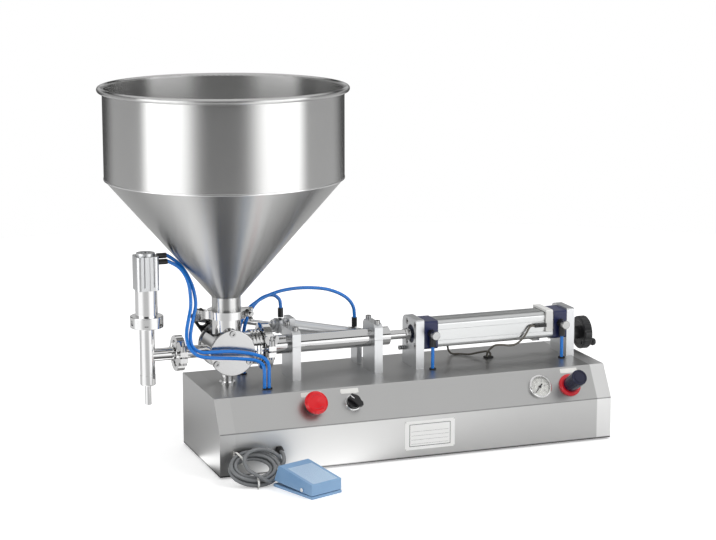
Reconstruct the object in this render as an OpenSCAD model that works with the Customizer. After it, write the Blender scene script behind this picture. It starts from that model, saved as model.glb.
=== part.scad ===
// Horizontal pneumatic paste filling machine.
// X runs along the machine, from the filling head at -X to the handwheel at +X.
// Y = 0 is the common centre line of valve, material tube and air cylinder.
// Z = 0 is the bench that the rubber feet and the foot pedal stand on.

/* [Case] */
// Length of the sheet metal case
case_l = 714; // [704:1:760]
// Depth of the case at its foot
case_d = 226; // [222:1:250]
// Height of the case above the feet
case_h = 126; // [118:1:140]
// How far the control panel leans back
slope_d = 32.5; // [28:0.5:36]
// Height of the bend at the foot of the control panel
bend_h = 73; // [66:1:78]
// Sheet thickness of case and hopper
sheet = 1.5; // [1.2:0.1:2]
// Outer radius of the folds in the case
fold_r = 2.5; // [2.2:0.1:3.5]
// Height of the rubber feet
feet_h = 3; // [2:0.5:8]
// Radius of the rubber feet
foot_r = 12; // [8:1:16]
// Distance of the feet from the case's ends and sides
foot_inset = 30; // [20:1:60]

/* [Main line] */
// Height of the main axis above the case top
axis_h = 59; // [56:0.5:64]
// Place of the rotary valve along the case
valve_x = -305; // [-312:1:-300]
// Distance from the rotary valve to the filling head
head_gap = 138; // [134:1:150]
// Distance from the rotary valve to the joint with the material tube
inlet_gap = 66; // [64:0.5:72]
// Distance from the rotary valve to the joint with the filling head
outlet_gap = 85; // [80:0.5:90]
// Height of the hopper joint above the main axis
hopper_port_h = 62; // [58:0.5:70]

/* [Hopper] */
// Outer radius of the hopper's cylinder
hopper_r = 200; // [180:1:210]
// Height of the hopper's cylinder
hopper_wall_h = 152.6; // [120:0.2:180]
// Height of the hopper's cone
cone_h = 203; // [190:1:240]
// Length of the neck between joint and cone
neck_h = 29.5; // [26:0.5:40]
// Outer radius of the neck
neck_r = 24.5; // [23:0.1:25.5]
// Radius of the rolled bead on the rim
bead_r = 4.8; // [3:0.1:6]

/* [Clamp joints] */
// Thickness of the gaskets between two pipe flanges
gasket_t = 1.6; // [1:0.1:2.5]
// Thickness of a pipe flange at its edge
flange_t = 2.4; // [2:0.1:3]
// Radius of the hopper joint's flanges
hopper_flange_r = 28; // [27.5:0.1:30]
// Radius of the outlet joint's flanges
outlet_flange_r = 25.2; // [24:0.1:27]
// Radius of the material tube joint's flanges
inlet_flange_r = 35; // [33:0.1:37]
// Wall of the clamp rings outside the flanges
clamp_wall = 4.8; // [3.5:0.1:6]
// Width of the clamp rings
clamp_w = 13; // [12.5:0.1:15]
// Width of the slots between the two halves of a clamp ring
clamp_split = 3; // [2:0.5:5]
// Radius of the clamp bolts
clamp_bolt_r = 3; // [2.5:0.1:3.5]
// Span of the wing nuts
wing_span = 24; // [20:1:28]

/* [Rotary valve] */
// Outer radius of the valve body
valve_r = 37; // [36:0.5:40]
// Radius of the bore that the rotor turns in
rotor_bore_r = 28.05; // [27:0.05:28.5]
// Radial running clearance of rotor, pistons and shafts
running_gap = 0.05; // [0.03:0.01:0.08]
// Body's front face, ahead of the centre line
valve_front = 30; // [28:0.5:32]
// Body's rear face, behind the centre line
valve_rear = 36; // [34:0.5:38]
// Thickness of the front and rear covers
cover_t = 5.6; // [5:0.1:7]
// How far the covers stand out past the body
cover_lip = 2.3; // [1:0.1:4]
// Gap between the front cover and the body
cover_gap = 0.8; // [0.4:0.1:1.2]
// Radius of the circle of cover screws
cover_screw_ring = 33; // [32.5:0.1:33.5]
// Radius of the passages through the rotor
passage_r = 13; // [10:0.5:13.5]
// Radius of the valve stem
stem_r = 8; // [6:0.5:9]
// Radius of the bearing boss on the rear cover
boss_r = 16; // [14:0.5:18]
// Length of the bearing boss
boss_l = 8; // [6:0.5:9]
// Radius of the post under the valve
post_r = 10; // [8:0.5:14]

/* [Valve drive] */
// Distance of the actuator's line behind the centre line
drive_y = 64; // [63:0.5:68]
// Tilt of the actuator, down towards the rear
drive_tilt = 11.5; // [8:0.5:13]
// Distance of the actuator's line from the valve axis
drive_h = 40; // [38:0.5:42]
// Thickness of the slotted lever
lever_t = 8; // [6:0.5:9]
// Radius of the lever's hub
lever_hub_r = 14; // [12:0.5:16]
// Half width of the lever's fork
lever_half_w = 12.5; // [12:0.5:14]
// How far the lever reaches past the pin
lever_reach = 7.5; // [6:0.5:9]
// Radius of the drive pin
drive_pin_r = 4; // [3:0.5:4.5]
// Free play of the drive pin in the lever's slot
pin_play = 0.35; // [0.3:0.05:0.5]
// Thickness of the clevis arms
clevis_arm = 5; // [4:0.5:6]
// Half height of the clevis
clevis_half = 10; // [8:0.5:11]
// Depth of the clevis behind the pin
clevis_depth = 34; // [32:0.5:38]
// Radius of the actuator's rod
drive_rod_r = 5; // [4:0.5:6]
// Radius of the actuator's barrel
drive_body_r = 13.5; // [12:0.5:15]
// Length of the actuator's barrel
drive_body_l = 149; // [145:1:155]
// Width of the supports under the actuator
drive_support_w = 32; // [28:1:36]

/* [Filling head] */
// Width of the head's air cylinder
head_w = 38.4; // [36:0.2:42]
// Height of the head's air cylinder
head_h = 57; // [52:0.5:64]
// Bore radius of the head's air cylinder
head_bore_r = 14; // [12:0.5:15]
// Length of the polished spacer under it
spacer_h = 44.5; // [40:0.5:52]
// Radius of the polished spacer
spacer_r = 18.7; // [17:0.1:19.5]
// Radius of the slotted union nut
union_r = 28; // [27:0.5:30]
// Height of the slotted union nut
union_h = 19.6; // [18:0.2:22]
// Height of the union nut's foot above the main axis
union_rise = 48.7; // [46:0.1:54]
// Outer radius of the head's tube
head_tube_r = 12.7; // [12.2:0.1:14]
// Wall of the head's tube
head_tube_wall = 1.5; // [1.2:0.1:2]
// Depth of the head's tube below the main axis
head_tube_drop = 33; // [30:0.5:38]
// Outer radius of the branch to the outlet joint
branch_r = 10.6; // [10:0.1:12]
// Wall of the branch
branch_wall = 2; // [1.5:0.1:2.5]
// Radius of the nozzle's collar
nozzle_collar_r = 13; // [12.8:0.1:15]
// Height of the nozzle's collar
nozzle_collar_h = 17.5; // [16:0.5:20]
// Outer radius of the nozzle's tip
nozzle_r = 5.3; // [4.9:0.1:7]
// Length of the nozzle's tip
nozzle_l = 33.7; // [20:0.1:45]
// Bore radius of the nozzle's tip
nozzle_bore_r = 4; // [3:0.5:4.4]
// Radius of the stop-off stem
head_stem_r = 4; // [3:0.5:5]
// Travel of the stop-off stem
head_travel = 12; // [8:1:14]

/* [Material tube] */
// Outer radius of the material tube
tube_r = 16; // [15.5:0.1:17]
// Inner radius of the material tube
tube_in_r = 14; // [13.5:0.1:14.4]
// Length of the material tube
tube_l = 224.8; // [218:0.2:232]
// Distance from the tube's front end to the first support
support_1 = 40.7; // [36:0.1:46]
// Distance between the two supports
support_step = 148.9; // [140:0.1:152]
// Thickness of the supports and brackets
block_t = 15; // [12:0.5:18]
// Half width of the supports
block_half_w = 29.5; // [28:0.5:32]
// Height of the supports above the main axis
block_rise = 27.5; // [26:0.5:32]
// Distance of the support screws from the centre line
block_screw_y = 22; // [21:0.5:23]
// Length of the material piston
piston_l = 26; // [20:1:30]

/* [Air cylinder] */
// Place of the front bracket's front face
bracket_x = 30; // [28:1:36]
// Height of the brackets above the main axis
bracket_rise = 28; // [26.5:0.5:34]
// Front side of the brackets, ahead of the centre line
bracket_front = 25; // [24:0.5:27]
// Rear side of the brackets, behind the centre line
bracket_rear = 41; // [40:0.5:46]
// Width of the square end caps
cap_w = 50; // [48:0.5:53]
// Length of the end caps
cap_l = 26; // [22:0.5:30]
// Length of the barrel
barrel_l = 222; // [216:1:228]
// Width of the barrel
barrel_w = 47.5; // [46:0.5:47.5]
// Bore radius of the barrel
barrel_in_r = 20; // [18:0.5:21]
// Radius of the piston rod
rod_r = 8; // [6:0.5:10]
// Distance between the cap screws
cap_screw_pitch = 37; // [36:0.5:38]
// Radius of the bore through the brackets
bracket_bore_r = 16.2; // [15:0.1:17]
// Length of the air piston
air_piston_l = 24; // [20:1:28]
// Stroke of the main piston
stroke = 175; // [150:1:175]

/* [Stroke adjuster] */
// Distance of the lead screw behind the centre line
screw_y = 33; // [31.5:0.5:34]
// Distance of the lead screw below the main axis
screw_drop = 32; // [31:0.5:36]
// Radius of the lead screw
screw_r = 4; // [3:0.5:5]
// Radius of the handwheel
wheel_r = 30; // [24:1:36]
// Thickness of the handwheel's rim
wheel_t = 16; // [12:1:20]
// Gap between the rear bracket and the handwheel
wheel_gap = 36; // [30:1:44]
// Radius of the handwheel's hand knob
wheel_knob_r = 7; // [5:0.5:8]
// Width of the sensor carriage
carriage_w = 13; // [10:1:16]
// Clearance of the sensor carriage round the barrel
carriage_gap = 0.7; // [0.4:0.1:1]

/* [Control panel] */
// Distance of the emergency stop from the case's end under the hopper
estop_in = 168.3; // [157:0.1:178]
// Radius of the emergency stop's mushroom head
estop_r = 20; // [17:0.5:22]
// Distance of the selector switch from the case's end under the hopper
selector_in = 238.5; // [231:0.5:248]
// Radius of the selector's bezel
selector_r = 14.5; // [14:0.5:17]
// Distance of the pressure gauge from the case's end under the handwheel
gauge_in = 131; // [127:1:142]
// Radius of the pressure gauge
gauge_r = 21; // [19:0.5:22]
// Distance of the pressure regulator from the case's end under the handwheel
regulator_in = 74; // [65:1:77]
// Radius of the regulator's lock ring
regulator_ring_r = 20; // [18:0.5:22]
// Radius of the regulator's knob
regulator_knob_r = 14; // [12:0.5:15]
// Length of the regulator's knob
regulator_knob_l = 40; // [30:1:46]

/* [Air tubes and leads] */
// Diameter of the air tubes
air_d = 6; // [5:0.5:6.5]
// Diameter of the sensor leads
lead_d = 3.6; // [3:0.2:4.4]

/* [Pedal] */
// Width of the foot pedal
pedal_w = 62; // [56:1:66]
// Length of the foot pedal
pedal_l = 98; // [92:1:102]
// Height of the pedal's front edge
pedal_low = 24; // [22:0.5:26]
// Height of the pedal's highest edge
pedal_high = 38; // [34:0.5:40]
// Thickness of the pedal's base plate
pedal_base_t = 4.5; // [3.5:0.5:5]
// Wall of the pedal's hood
pedal_wall = 2.5; // [2:0.1:3]
// Radius of the pedal's hinge pin
pedal_pin_r = 3; // [2:0.5:3.5]
// Diameter of the pedal's cord
cord_d = 6.4; // [5.6:0.1:6.4]

/* [Hidden] */
$fn = 64;

// Gap between pieces that move past each other
gap = 0.3;
// Case levels and sides
top_z = feet_h + case_h;
bend_z = feet_h + bend_h;
top_d = case_d - slope_d;
front_y = -top_d / 2 - slope_d;
rear_y = top_d / 2;
panel_a = atan(slope_d / (case_h - bend_h));
axis_z = top_z + axis_h;
base_top = feet_h + sheet;
// Places of the main line
head_x = valve_x - head_gap;
outlet_x = valve_x - outlet_gap;
inlet_x = valve_x + inlet_gap;
tube_x0 = inlet_x + gasket_t / 2;
support_x = [tube_x0 + support_1, tube_x0 + support_1 + support_step];
front_cap_x = bracket_x + block_t;
barrel_x = front_cap_x + cap_l;
rear_cap_x = barrel_x + barrel_l;
rear_bracket_x = rear_cap_x + cap_l;
bracket_end = rear_bracket_x + block_t;
screw_z = axis_z - screw_drop;
wheel_x = bracket_end + wheel_gap;
piston_x = tube_x0 + stroke + gap + 1.6;
air_piston_x = barrel_x + barrel_l - air_piston_l - 2;
// Hopper levels
hopper_z = axis_z + hopper_port_h;
neck_z = hopper_z + neck_h;
seam_z = neck_z + cone_h;
rim_z = seam_z + hopper_wall_h;
// Valve
rotor_r = rotor_bore_r - running_gap;
cover_screw_angles = [90, 210, 330];
screw_hole_r = 3.05;
cover_r = valve_r + cover_lip;
rear_cover_end = valve_rear + cover_t;
stem_end = drive_y + lever_t / 2 + 4;
lever_y = drive_y - lever_t / 2;
// Valve drive: the pin's line, and the lever's angle at each place along it
drive_u = [-cos(drive_tilt), 0, sin(drive_tilt)];
drive_half = drive_h;
drive_foot = [valve_x + drive_h * sin(drive_tilt), drive_y, axis_z + drive_h * cos(drive_tilt)];
clevis_gap = lever_t + 2;
clevis_end = clevis_depth + 8;
nose_t = -drive_half - clevis_end - 11;
nose_l = 20;
body_t = nose_t - nose_l;
drive_stroke = 2 * drive_half;
// Filling head levels
union_z = axis_z + union_rise;
spacer_z = union_z + union_h;
head_z = spacer_z + spacer_h;
tee_foot = axis_z - head_tube_drop;
nozzle_z = tee_foot - nozzle_collar_h;
nozzle_end = nozzle_z - nozzle_l;
// Stroke adjuster
carriage_x = rear_cap_x - carriage_w - 3;
carriage_in = barrel_w / 2 + carriage_gap;
carriage_wall = 4;
wheel_knob_a = 227;
// Ports of the air cylinder above the axis, and the stems of small knobs
port_rise = 3.5;
knob_stem_r = 3;
// Devices on the panel, along the case and up its slope, and ports in the rear wall
estop_x = estop_in - case_l / 2;
selector_x = selector_in - case_l / 2;
gauge_x = case_l / 2 - gauge_in;
regulator_x = case_l / 2 - regulator_in;
estop_up = 34.3;
selector_up = 33.8;
gauge_up = 30;
regulator_up = 28;
device_hole_r = 11.2;
stem_hole_r = 7.05;
estop_travel = 4;
selector_rest = 45;
gauge_zero = 135;
regulator_neck_r = 15;
gland_r = 7;
// Grommets in the case top: x, y, radius
grommets = [
  [front_cap_x + cap_l / 2, -33, 6], [rear_cap_x + cap_l / 2, -33, 6],
  [-251, -65, 5.6], [-259, -65, 5.6 - 1.8], [-261, 47, 5.4], [-270, 47, 5.4 - 1.8], [184, 13, 9]
];
air_inlet_x = case_l / 2 - 107;
air_inlet_r = 8;
muffler_x = case_l / 2 - 157;
muffler_neck_r = 5;
mains_x = case_l / 2 - 237;
mains_w = 28;
mains_h = 20;
rear_port_z = feet_h + 45;
// Pedal
pedal_at = [-239.2, -227.7];
pedal_turn = 21;
pedal_pin = [-24.5, 11];
pedal_back_y = 35;
pedal_gland = [12, 9];
pedal_gland_l = 9;
pedal_mouth = pedal_l / 2 + pedal_gland_l;
// Cord coil leaning against the case's front
coil_at = [-310, -165.4, 25.1];
coil_lean = 31;
coil_half = [43, 36.5];
coil_turns = 4.15;
coil_start = -14;
coil_step = 7;
coil_rings = 24;
cord_gland_x = -255;
cord_gland_z = 40.6;
// Routes of air tubes, leads and cord, chosen by hand
route_head_upper = [
  [-414, 0, 356], [-407, 0, 356], [-390, -1, 344], [-380, -6, 332], [-372, -11, 316],
  [-366, -16, 297], [-364, -21, 274], [-369, -26, 256], [-375, -33, 239], [-379, -39, 222],
  [-376, -43, 206], [-362, -46, 197], [-338, -48, 196], [-312, -49, 195], [-286, -51, 191],
  [-267, -55, 186], [-256, -60, 180], [-251, -64, 170], [-251, -65, 156], [-251, -65, 142],
  [-251, -65, 131]
];
route_head_lower = [
  [-414, -7, 347], [-407, -7, 347], [-391, -8, 338], [-381, -12, 326], [-375, -17, 310],
  [-373, -21, 290], [-374, -25, 270], [-379, -30, 252], [-384, -36, 236], [-386, -42, 220],
  [-382, -47, 205], [-368, -50, 192], [-346, -50, 187], [-318, -50, 184], [-290, -53, 181],
  [-271, -57, 178], [-261, -61, 171], [-259, -65, 160], [-259, -65, 145], [-259, -65, 131]
];
route_drive_front = [
  [-261, 47, 131], [-261, 47, 146], [-262, 46, 170], [-262, 45.5, 195], [-258, 46, 218],
  [-248, 49, 238], [-235, 55, 252], [-219, 60, 260], [-202, 63.5, 261], [-191, 64, 253],
  [-188.5, 64, 243], [-188.5, 64, 232]
];
route_drive_rear = [
  [-270, 47, 131], [-270, 47, 146], [-270, 46, 170], [-270, 45.5, 196], [-266, 46, 220],
  [-255, 48, 240], [-238, 50, 253], [-217, 54, 262], [-190, 56, 269], [-160, 59, 271],
  [-130, 62, 269], [-103, 64, 264], [-80, 64, 255], [-63, 64, 243], [-54, 64, 229],
  [-52, 64, 216], [-52, 64, 205]
];
route_lead_reed = [
  [reed_x(1), -27.5, 190], [reed_x(0.91), -27.5, 190], [reed_x(0.84), -28.5, 186],
  [reed_x(0.75), -29, 175], [reed_x(0.58), -29, 163], [reed_x(0.39), -28, 158],
  [reed_x(0.18), -26, 160], [reed_x(0.01), -21, 159], [178, -10, 151], [179, 3, 143], [181, 12, 136],
  [181, 12, 131]
];
route_lead_home = [
  [97.3, 26.5, 175], [103, 26.5, 175], [109, 34, 170], [115, 42, 162], [119, 47, 149],
  [123, 50, 138], [131, 52, 131.5], [144, 47, 131.2], [158, 36, 132], [172, 24, 137],
  [183, 16.5, 139.5], [188, 14, 136], [188, 14, 131]
];
route_cord_out = [
  [-255, -139.5, 40.6], [-255, -145, 40.6], [-255, -153.5, 37.5], [-256.5, -160.5, 31.5], [-261, -165.5, 24.5]
];
route_cord_loop = [
  [-293.5, -198.3, 10.6], [-301, -200, 13.4], [-309.5, -198.3, 19.4], [-318, -192.6, 24.6],
  [-325, -183, 29.5], [-327, -171, 36.5], [-323, -159.5, 43.5], [-314, -151.5, 48],
  [-302.5, -148, 50.5], [-290, -148.5, 50.5], [-278.5, -152, 48], [-267.5, -154, 41],
  [-259.5, -152, 28.5], [-253.5, -154, 16.5]
];
// Where the tubes enter the head and the actuator: places, or x and height of the tube's end
head_ports = [route_head_upper[0], route_head_lower[0]];
drive_ports = [[-188.5, 232], [-52, 205]];
function drive_line_z(x) = drive_foot[2] - (x - drive_foot[0]) * tan(drive_tilt);
function drive_port_z(x) = drive_line_z(x) + (drive_body_r + 0.8) / cos(drive_tilt) + 1.3;
// Place along X of a point of the reed sensor's lead: 0 at its grommet, 1 at the sensor
function reed_x(s) = 181 + s * (carriage_x - 203.3);

function unit(v) = v / norm(v);
// Corner at b with radius r, between the sides to a and c, as short straight pieces
function corner(a, b, c, r, n = 5) = r == 0 ? [b] :
  let (u = unit(a - b), v = unit(c - b), half = acos(u * v) / 2,
       mid = b + unit(u + v) * r / sin(half), s = b + u * r / tan(half) - mid,
       e = b + v * r / tan(half) - mid, w = 180 - 2 * half)
  [for (k = [0:n]) mid + (s * sin(w * (1 - k / n)) + e * sin(w * k / n)) / sin(w)];
// Outline whose points are [x, y, corner radius]
function rounded(p) = let (n = len(p), q = [for (v = p) [v[0], v[1]]])
  [for (i = [0:n - 1]) each corner(q[(i + n - 1) % n], q[i], q[(i + 1) % n], p[i][2])];
function catmull(a, b, c, d, t) =
  (2 * b + (c - a) * t + (2 * a - 5 * b + 4 * c - d) * t * t + (3 * b - a - 3 * c + d) * t * t * t) / 2;
function smooth(p, n = 1) = let (m = len(p) - 1)
  [for (i = [0:m - 1], k = [0:n - 1])
     catmull(p[max(i - 1, 0)], p[i], p[i + 1], p[min(i + 2, m)], k / n), p[m]];
function heading(q, i) = unit(q[min(i + 1, len(q) - 1)] - q[max(i - 1, 0)]);
function side_start(t) = unit(cross(t, abs(t[2]) < 0.9 ? [0, 0, 1] : [1, 0, 0]));
function sides(q) = [for (i = 0, t = heading(q, 0), u = side_start(t); i < len(q);
  i = i + 1, t = heading(q, min(i, len(q) - 1)), u = unit(u - (u * t) * t)) [u, cross(t, u)]];
// Round tube of radius r swept along the points q, with n flat sides
module sweep(q, r, n = 8) {
  m = len(q);
  f = sides(q);
  points = [for (i = [0:m - 1], k = [0:n - 1])
    q[i] + r * (cos(360 * k / n) * f[i][0] + sin(360 * k / n) * f[i][1])];
  walls = [for (i = [0:m - 2], k = [0:n - 1]) let (a = i * n + k, b = i * n + (k + 1) % n)
    each [[a, a + n, b + n], [a, b + n, b]]];
  ends = [[for (k = [0:n - 1]) k], [for (k = [0:n - 1]) m * n - 1 - k]];
  polyhedron(points, concat(walls, ends), convexity = 10);
}

// Stands a piece along +X, +Y or the control panel's outward normal
module along_x(at) { translate(at) rotate([90, 0, 90]) children(); }
module along_y(at) { translate(at) rotate([-90, 0, 0]) children(); }
module on_panel(x, up) {
  translate([x, front_y + up * sin(panel_a), bend_z + up * cos(panel_a)])
    rotate([90 - panel_a, 0, 0]) children();
}
// Puts a piece on the actuator's line: local +Z runs along it, away from the barrel
module on_drive(t) { translate(drive_foot + t * drive_u) rotate([0, drive_tilt - 90, 0]) children(); }
module ring(r, r_in, h) {
  difference() {
    cylinder(r = r, h = h);
    translate([0, 0, -1]) cylinder(r = r_in, h = h + 2);
  }
}
module round_rect(w, h, r) {
  square([w - 2 * r, h], center = true);
  square([w, h - 2 * r], center = true);
  for (x = [-1, 1], y = [-1, 1]) translate([x * (w / 2 - r), y * (h / 2 - r)]) circle(r);
}
module hexagon(across, h) { cylinder(r = across / 2 / cos(30), h = h, $fn = 6); }
module round_box(w, d, h, r) { linear_extrude(h) round_rect(w, d, r); }

// Case outline in the Y-Z plane, set in from the outside by d
module case_outline(d, foot) {
  lean = tan(panel_a / 2);
  back = tan(45 - panel_a / 2);
  r = max(fold_r - d, 0.5);
  polygon(rounded([
    [front_y + d, foot, 0], [front_y + d, bend_z - d * lean, r],
    [-top_d / 2 + d * back, top_z - d, r], [rear_y - d, top_z - d, r], [rear_y - d, foot, 0]
  ]));
}
// Holes in the panel and the case for what is mounted in them
module case_holes() {
  on_panel(estop_x, estop_up) cylinder(r = device_hole_r, h = 20, center = true);
  on_panel(selector_x, selector_up) cylinder(r = device_hole_r, h = 20, center = true);
  on_panel(gauge_x, gauge_up) cylinder(r = gauge_r - 2.5, h = 20, center = true);
  on_panel(regulator_x, regulator_up) cylinder(r = regulator_neck_r, h = 20, center = true);
  translate([cord_gland_x, front_y, cord_gland_z]) rotate([90, 0, 0])
    cylinder(r = gland_r - 2, h = 10, center = true);
  for (g = grommets) translate([g[0], g[1], top_z]) cylinder(r = g[2] - 2, h = 10, center = true);
  translate([air_inlet_x, rear_y, rear_port_z]) rotate([90, 0, 0])
    cylinder(r = air_inlet_r - 2, h = 10, center = true);
  translate([muffler_x, rear_y, rear_port_z]) rotate([90, 0, 0])
    cylinder(r = muffler_neck_r, h = 10, center = true);
  translate([mains_x, rear_y, rear_port_z]) cube([mains_w, 10, mains_h], center = true);
}
module case_shell() {
  color("gainsboro") difference() {
    along_x([-case_l / 2, 0, 0]) linear_extrude(case_l) case_outline(0, feet_h);
    along_x([-case_l / 2 + sheet, 0, 0]) linear_extrude(case_l - 2 * sheet)
      case_outline(sheet, feet_h - 1);
    case_holes();
  }
}
module base_plate() {
  color("silver") {
    translate([-case_l / 2 + sheet, front_y + sheet, feet_h])
      cube([case_l - 2 * sheet, case_d - 2 * sheet, sheet]);
  }
}
module rubber_feet() {
  color("dimgray") {
    for (x = [-1, 1], y = [front_y + foot_inset, rear_y - foot_inset])
      translate([x * (case_l / 2 - foot_inset), y, 0]) cylinder(r = foot_r, h = feet_h);
    cylinder(r = foot_r, h = feet_h);
  }
}
// Solenoid valve manifold and relay box, sealed inside the case
module inner_controls() {
  color("darkslategray") {
    translate([-60, 20, base_top]) {
      cube([96, 32, 20]);
      for (i = [0:2]) translate([6 + 30 * i, 4, 20]) {
        cube([22, 24, 26]);
        translate([11, 12, 26]) cylinder(r = 8, h = 20);
      }
    }
    translate([-180, 10, base_top]) cube([70, 50, 42]);
    translate([-174, 16, base_top + 42]) for (i = [0:2]) translate([20 * i, 0, 0]) cube([18, 38, 12]);
  }
}
module rear_ports() {
  color("dimgray") {
    // Air inlet: bulkhead fitting with a blind 8 mm socket
    translate([air_inlet_x, rear_y, rear_port_z]) rotate([-90, 0, 0]) difference() {
      union() {
        translate([0, 0, -sheet - 10]) cylinder(r = air_inlet_r - 2, h = sheet + 11);
        hexagon(2 * air_inlet_r, 5);
        translate([0, 0, 5]) cylinder(r = air_inlet_r - 0.6, h = 13);
      }
      cylinder(r = 4.05, h = 19);
    }
    // Exhaust muffler
    translate([muffler_x, rear_y, rear_port_z]) rotate([-90, 0, 0]) {
      translate([0, 0, -sheet - 6]) cylinder(r = muffler_neck_r, h = sheet + 6);
      hexagon(14, 4);
      translate([0, 0, 4]) cylinder(r = 5.6, h = 14);
      translate([0, 0, 18]) sphere(r = 5.6, $fn = 32);
    }
    // Mains inlet with three pins
    translate([mains_x, rear_y, rear_port_z]) difference() {
      union() {
        translate([0, 1.25, 0]) cube([mains_w + 20, 2.5, mains_h + 4], center = true);
        translate([0, -10, 0]) cube([mains_w, 20, mains_h], center = true);
      }
      translate([0, -6, 0]) cube([mains_w - 5, 18, mains_h - 5], center = true);
    }
    for (i = [-1:1]) translate([mains_x + 7 * i, rear_y - 15, rear_port_z + (i == 0 ? 2 : -2)])
      translate([-1, 0, -2]) cube([2, 13, 4]);
  }
}

// Pipe flange revolved round Z, its sealing face at z = 0 and its pipe upwards
module flange(r_in, r_pipe, r_edge, l) {
  rotate_extrude() polygon([
    [r_in, 0], [r_edge, 0], [r_edge, flange_t], [r_pipe + 0.9, flange_back(r_pipe, r_edge)],
    [r_pipe, flange_back(r_pipe, r_edge) + 0.6], [r_pipe, l], [r_in, l]
  ]);
}
function flange_back(r_pipe, r_edge) = min(flange_t + (r_edge - r_pipe) * 0.32, 4.9);
// Two half rings round a pair of flanges, centred on z = 0, with the bolt ears on +X
module clamp_rings(r_edge) {
  r_out = r_edge + clamp_wall;
  ear = clamp_ear_x(r_edge);
  difference() {
    union() {
      translate([0, 0, -clamp_w / 2]) cylinder(r = r_out, h = clamp_w);
      translate([0, -9.5, -clamp_w / 2]) cube([ear + 5, 19, clamp_w]);
      translate([-r_out - 5, -5, -clamp_w / 2]) cube([r_out, 10, clamp_w]);
    }
    rotate_extrude() polygon([
      [0, clamp_w], [r_edge - 3, clamp_w], [r_edge - 3, flange_t + 2.4], [r_edge + 0.2, flange_t + 1.1],
      [r_edge + 0.2, -flange_t - 1.1], [r_edge - 3, -flange_t - 2.4], [r_edge - 3, -clamp_w],
      [0, -clamp_w]
    ]);
    translate([r_edge / 2, -clamp_split / 2, -clamp_w]) cube([ear + 20, clamp_split, 2 * clamp_w]);
    translate([-r_edge - 20, -clamp_split / 2, -clamp_w]) cube([r_edge, clamp_split, 2 * clamp_w]);
    translate([-r_out - 1, 0, -clamp_w]) cylinder(r = clamp_bolt_r, h = 2 * clamp_w);
    translate([ear, 0, 0]) rotate([90, 0, 0]) cylinder(r = clamp_bolt_r + 0.3, h = 60, center = true);
  }
  translate([-r_out - 1, 0, -clamp_w / 2 - 1]) cylinder(r = clamp_bolt_r - 0.02, h = clamp_w + 2);
}
function clamp_ear_x(r_edge) = r_edge + clamp_wall + 4.5;
// Swing bolt through the ears, with its head on +Y and its wing nut on -Y
module clamp_bolt(r_edge) {
  translate([clamp_ear_x(r_edge), 0, 0]) rotate([90, 0, 0]) {
    translate([0, 0, -9.5]) cylinder(r = clamp_bolt_r, h = 34.5);
    translate([0, 0, -13.6]) cylinder(r = clamp_bolt_r + 2.1, h = 4.1);
    translate([0, 0, 9.6]) {
      ring(5.5, clamp_bolt_r + 0.02, 9);
      for (s = [90, 270]) rotate([0, 0, s]) rotate([90, 0, 0]) translate([0, 0, -2])
        linear_extrude(4) polygon(rounded([
          [4.6, 2, 0], [8, 2, 1], [wing_span / 2, 8, 3], [wing_span / 2, 17, 2.5],
          [wing_span / 2 - 5, 17, 1.5], [4.6, 7, 0]
        ]));
    }
  }
}
module at_hopper_joint() { translate([valve_x, 0, hopper_z]) children(); }
// Joint in the main line at x: the bolt ears point forward, local +Z runs along +X
module at_line_joint(x) {
  translate([x, 0, axis_z]) rotate([0, 90, 0]) rotate([0, 0, -90]) children();
}
module at_outlet_joint() { at_line_joint(outlet_x) children(); }
module at_inlet_joint() { at_line_joint(inlet_x) children(); }
module hopper_clamp() { color("silver") at_hopper_joint() clamp_rings(hopper_flange_r); }
module line_clamps() {
  color("silver") {
    at_outlet_joint() clamp_rings(outlet_flange_r);
    at_inlet_joint() clamp_rings(inlet_flange_r);
  }
}

// Mitre at the cone's ends: how far it moves up between the outer and the inner face
function hopper_shift() = sheet * tan(atan((hopper_r - neck_r) / cone_h) / 2);
module hopper_wall() {
  color("lightgray") rotate_extrude_at(valve_x) {
    polygon([
      [hopper_r, seam_z], [hopper_r, rim_z - bead_r], [hopper_r - sheet, rim_z - bead_r],
      [hopper_r - sheet, seam_z + hopper_shift()]
    ]);
    translate([hopper_r + bead_r - sheet / 2, rim_z - bead_r]) circle(bead_r);
  }
}
module hopper_cone() {
  color("lightgray") rotate_extrude_at(valve_x) polygon([
    [neck_r, neck_z], [hopper_r, seam_z], [hopper_r - sheet, seam_z + hopper_shift()],
    [neck_r - sheet, neck_z + hopper_shift()]
  ]);
}
module hopper_neck() {
  z0 = hopper_z + gasket_t / 2;
  back = flange_back(neck_r, hopper_flange_r);
  color("lightgray") rotate_extrude_at(valve_x) polygon([
    [neck_r - sheet, z0], [hopper_flange_r, z0], [hopper_flange_r, z0 + flange_t],
    [neck_r + 0.9, z0 + back], [neck_r, z0 + back + 0.6], [neck_r, neck_z],
    [neck_r - sheet, neck_z + hopper_shift()]
  ]);
}
module rotate_extrude_at(x) { translate([x, 0, 0]) rotate_extrude($fn = 128) children(); }

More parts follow.
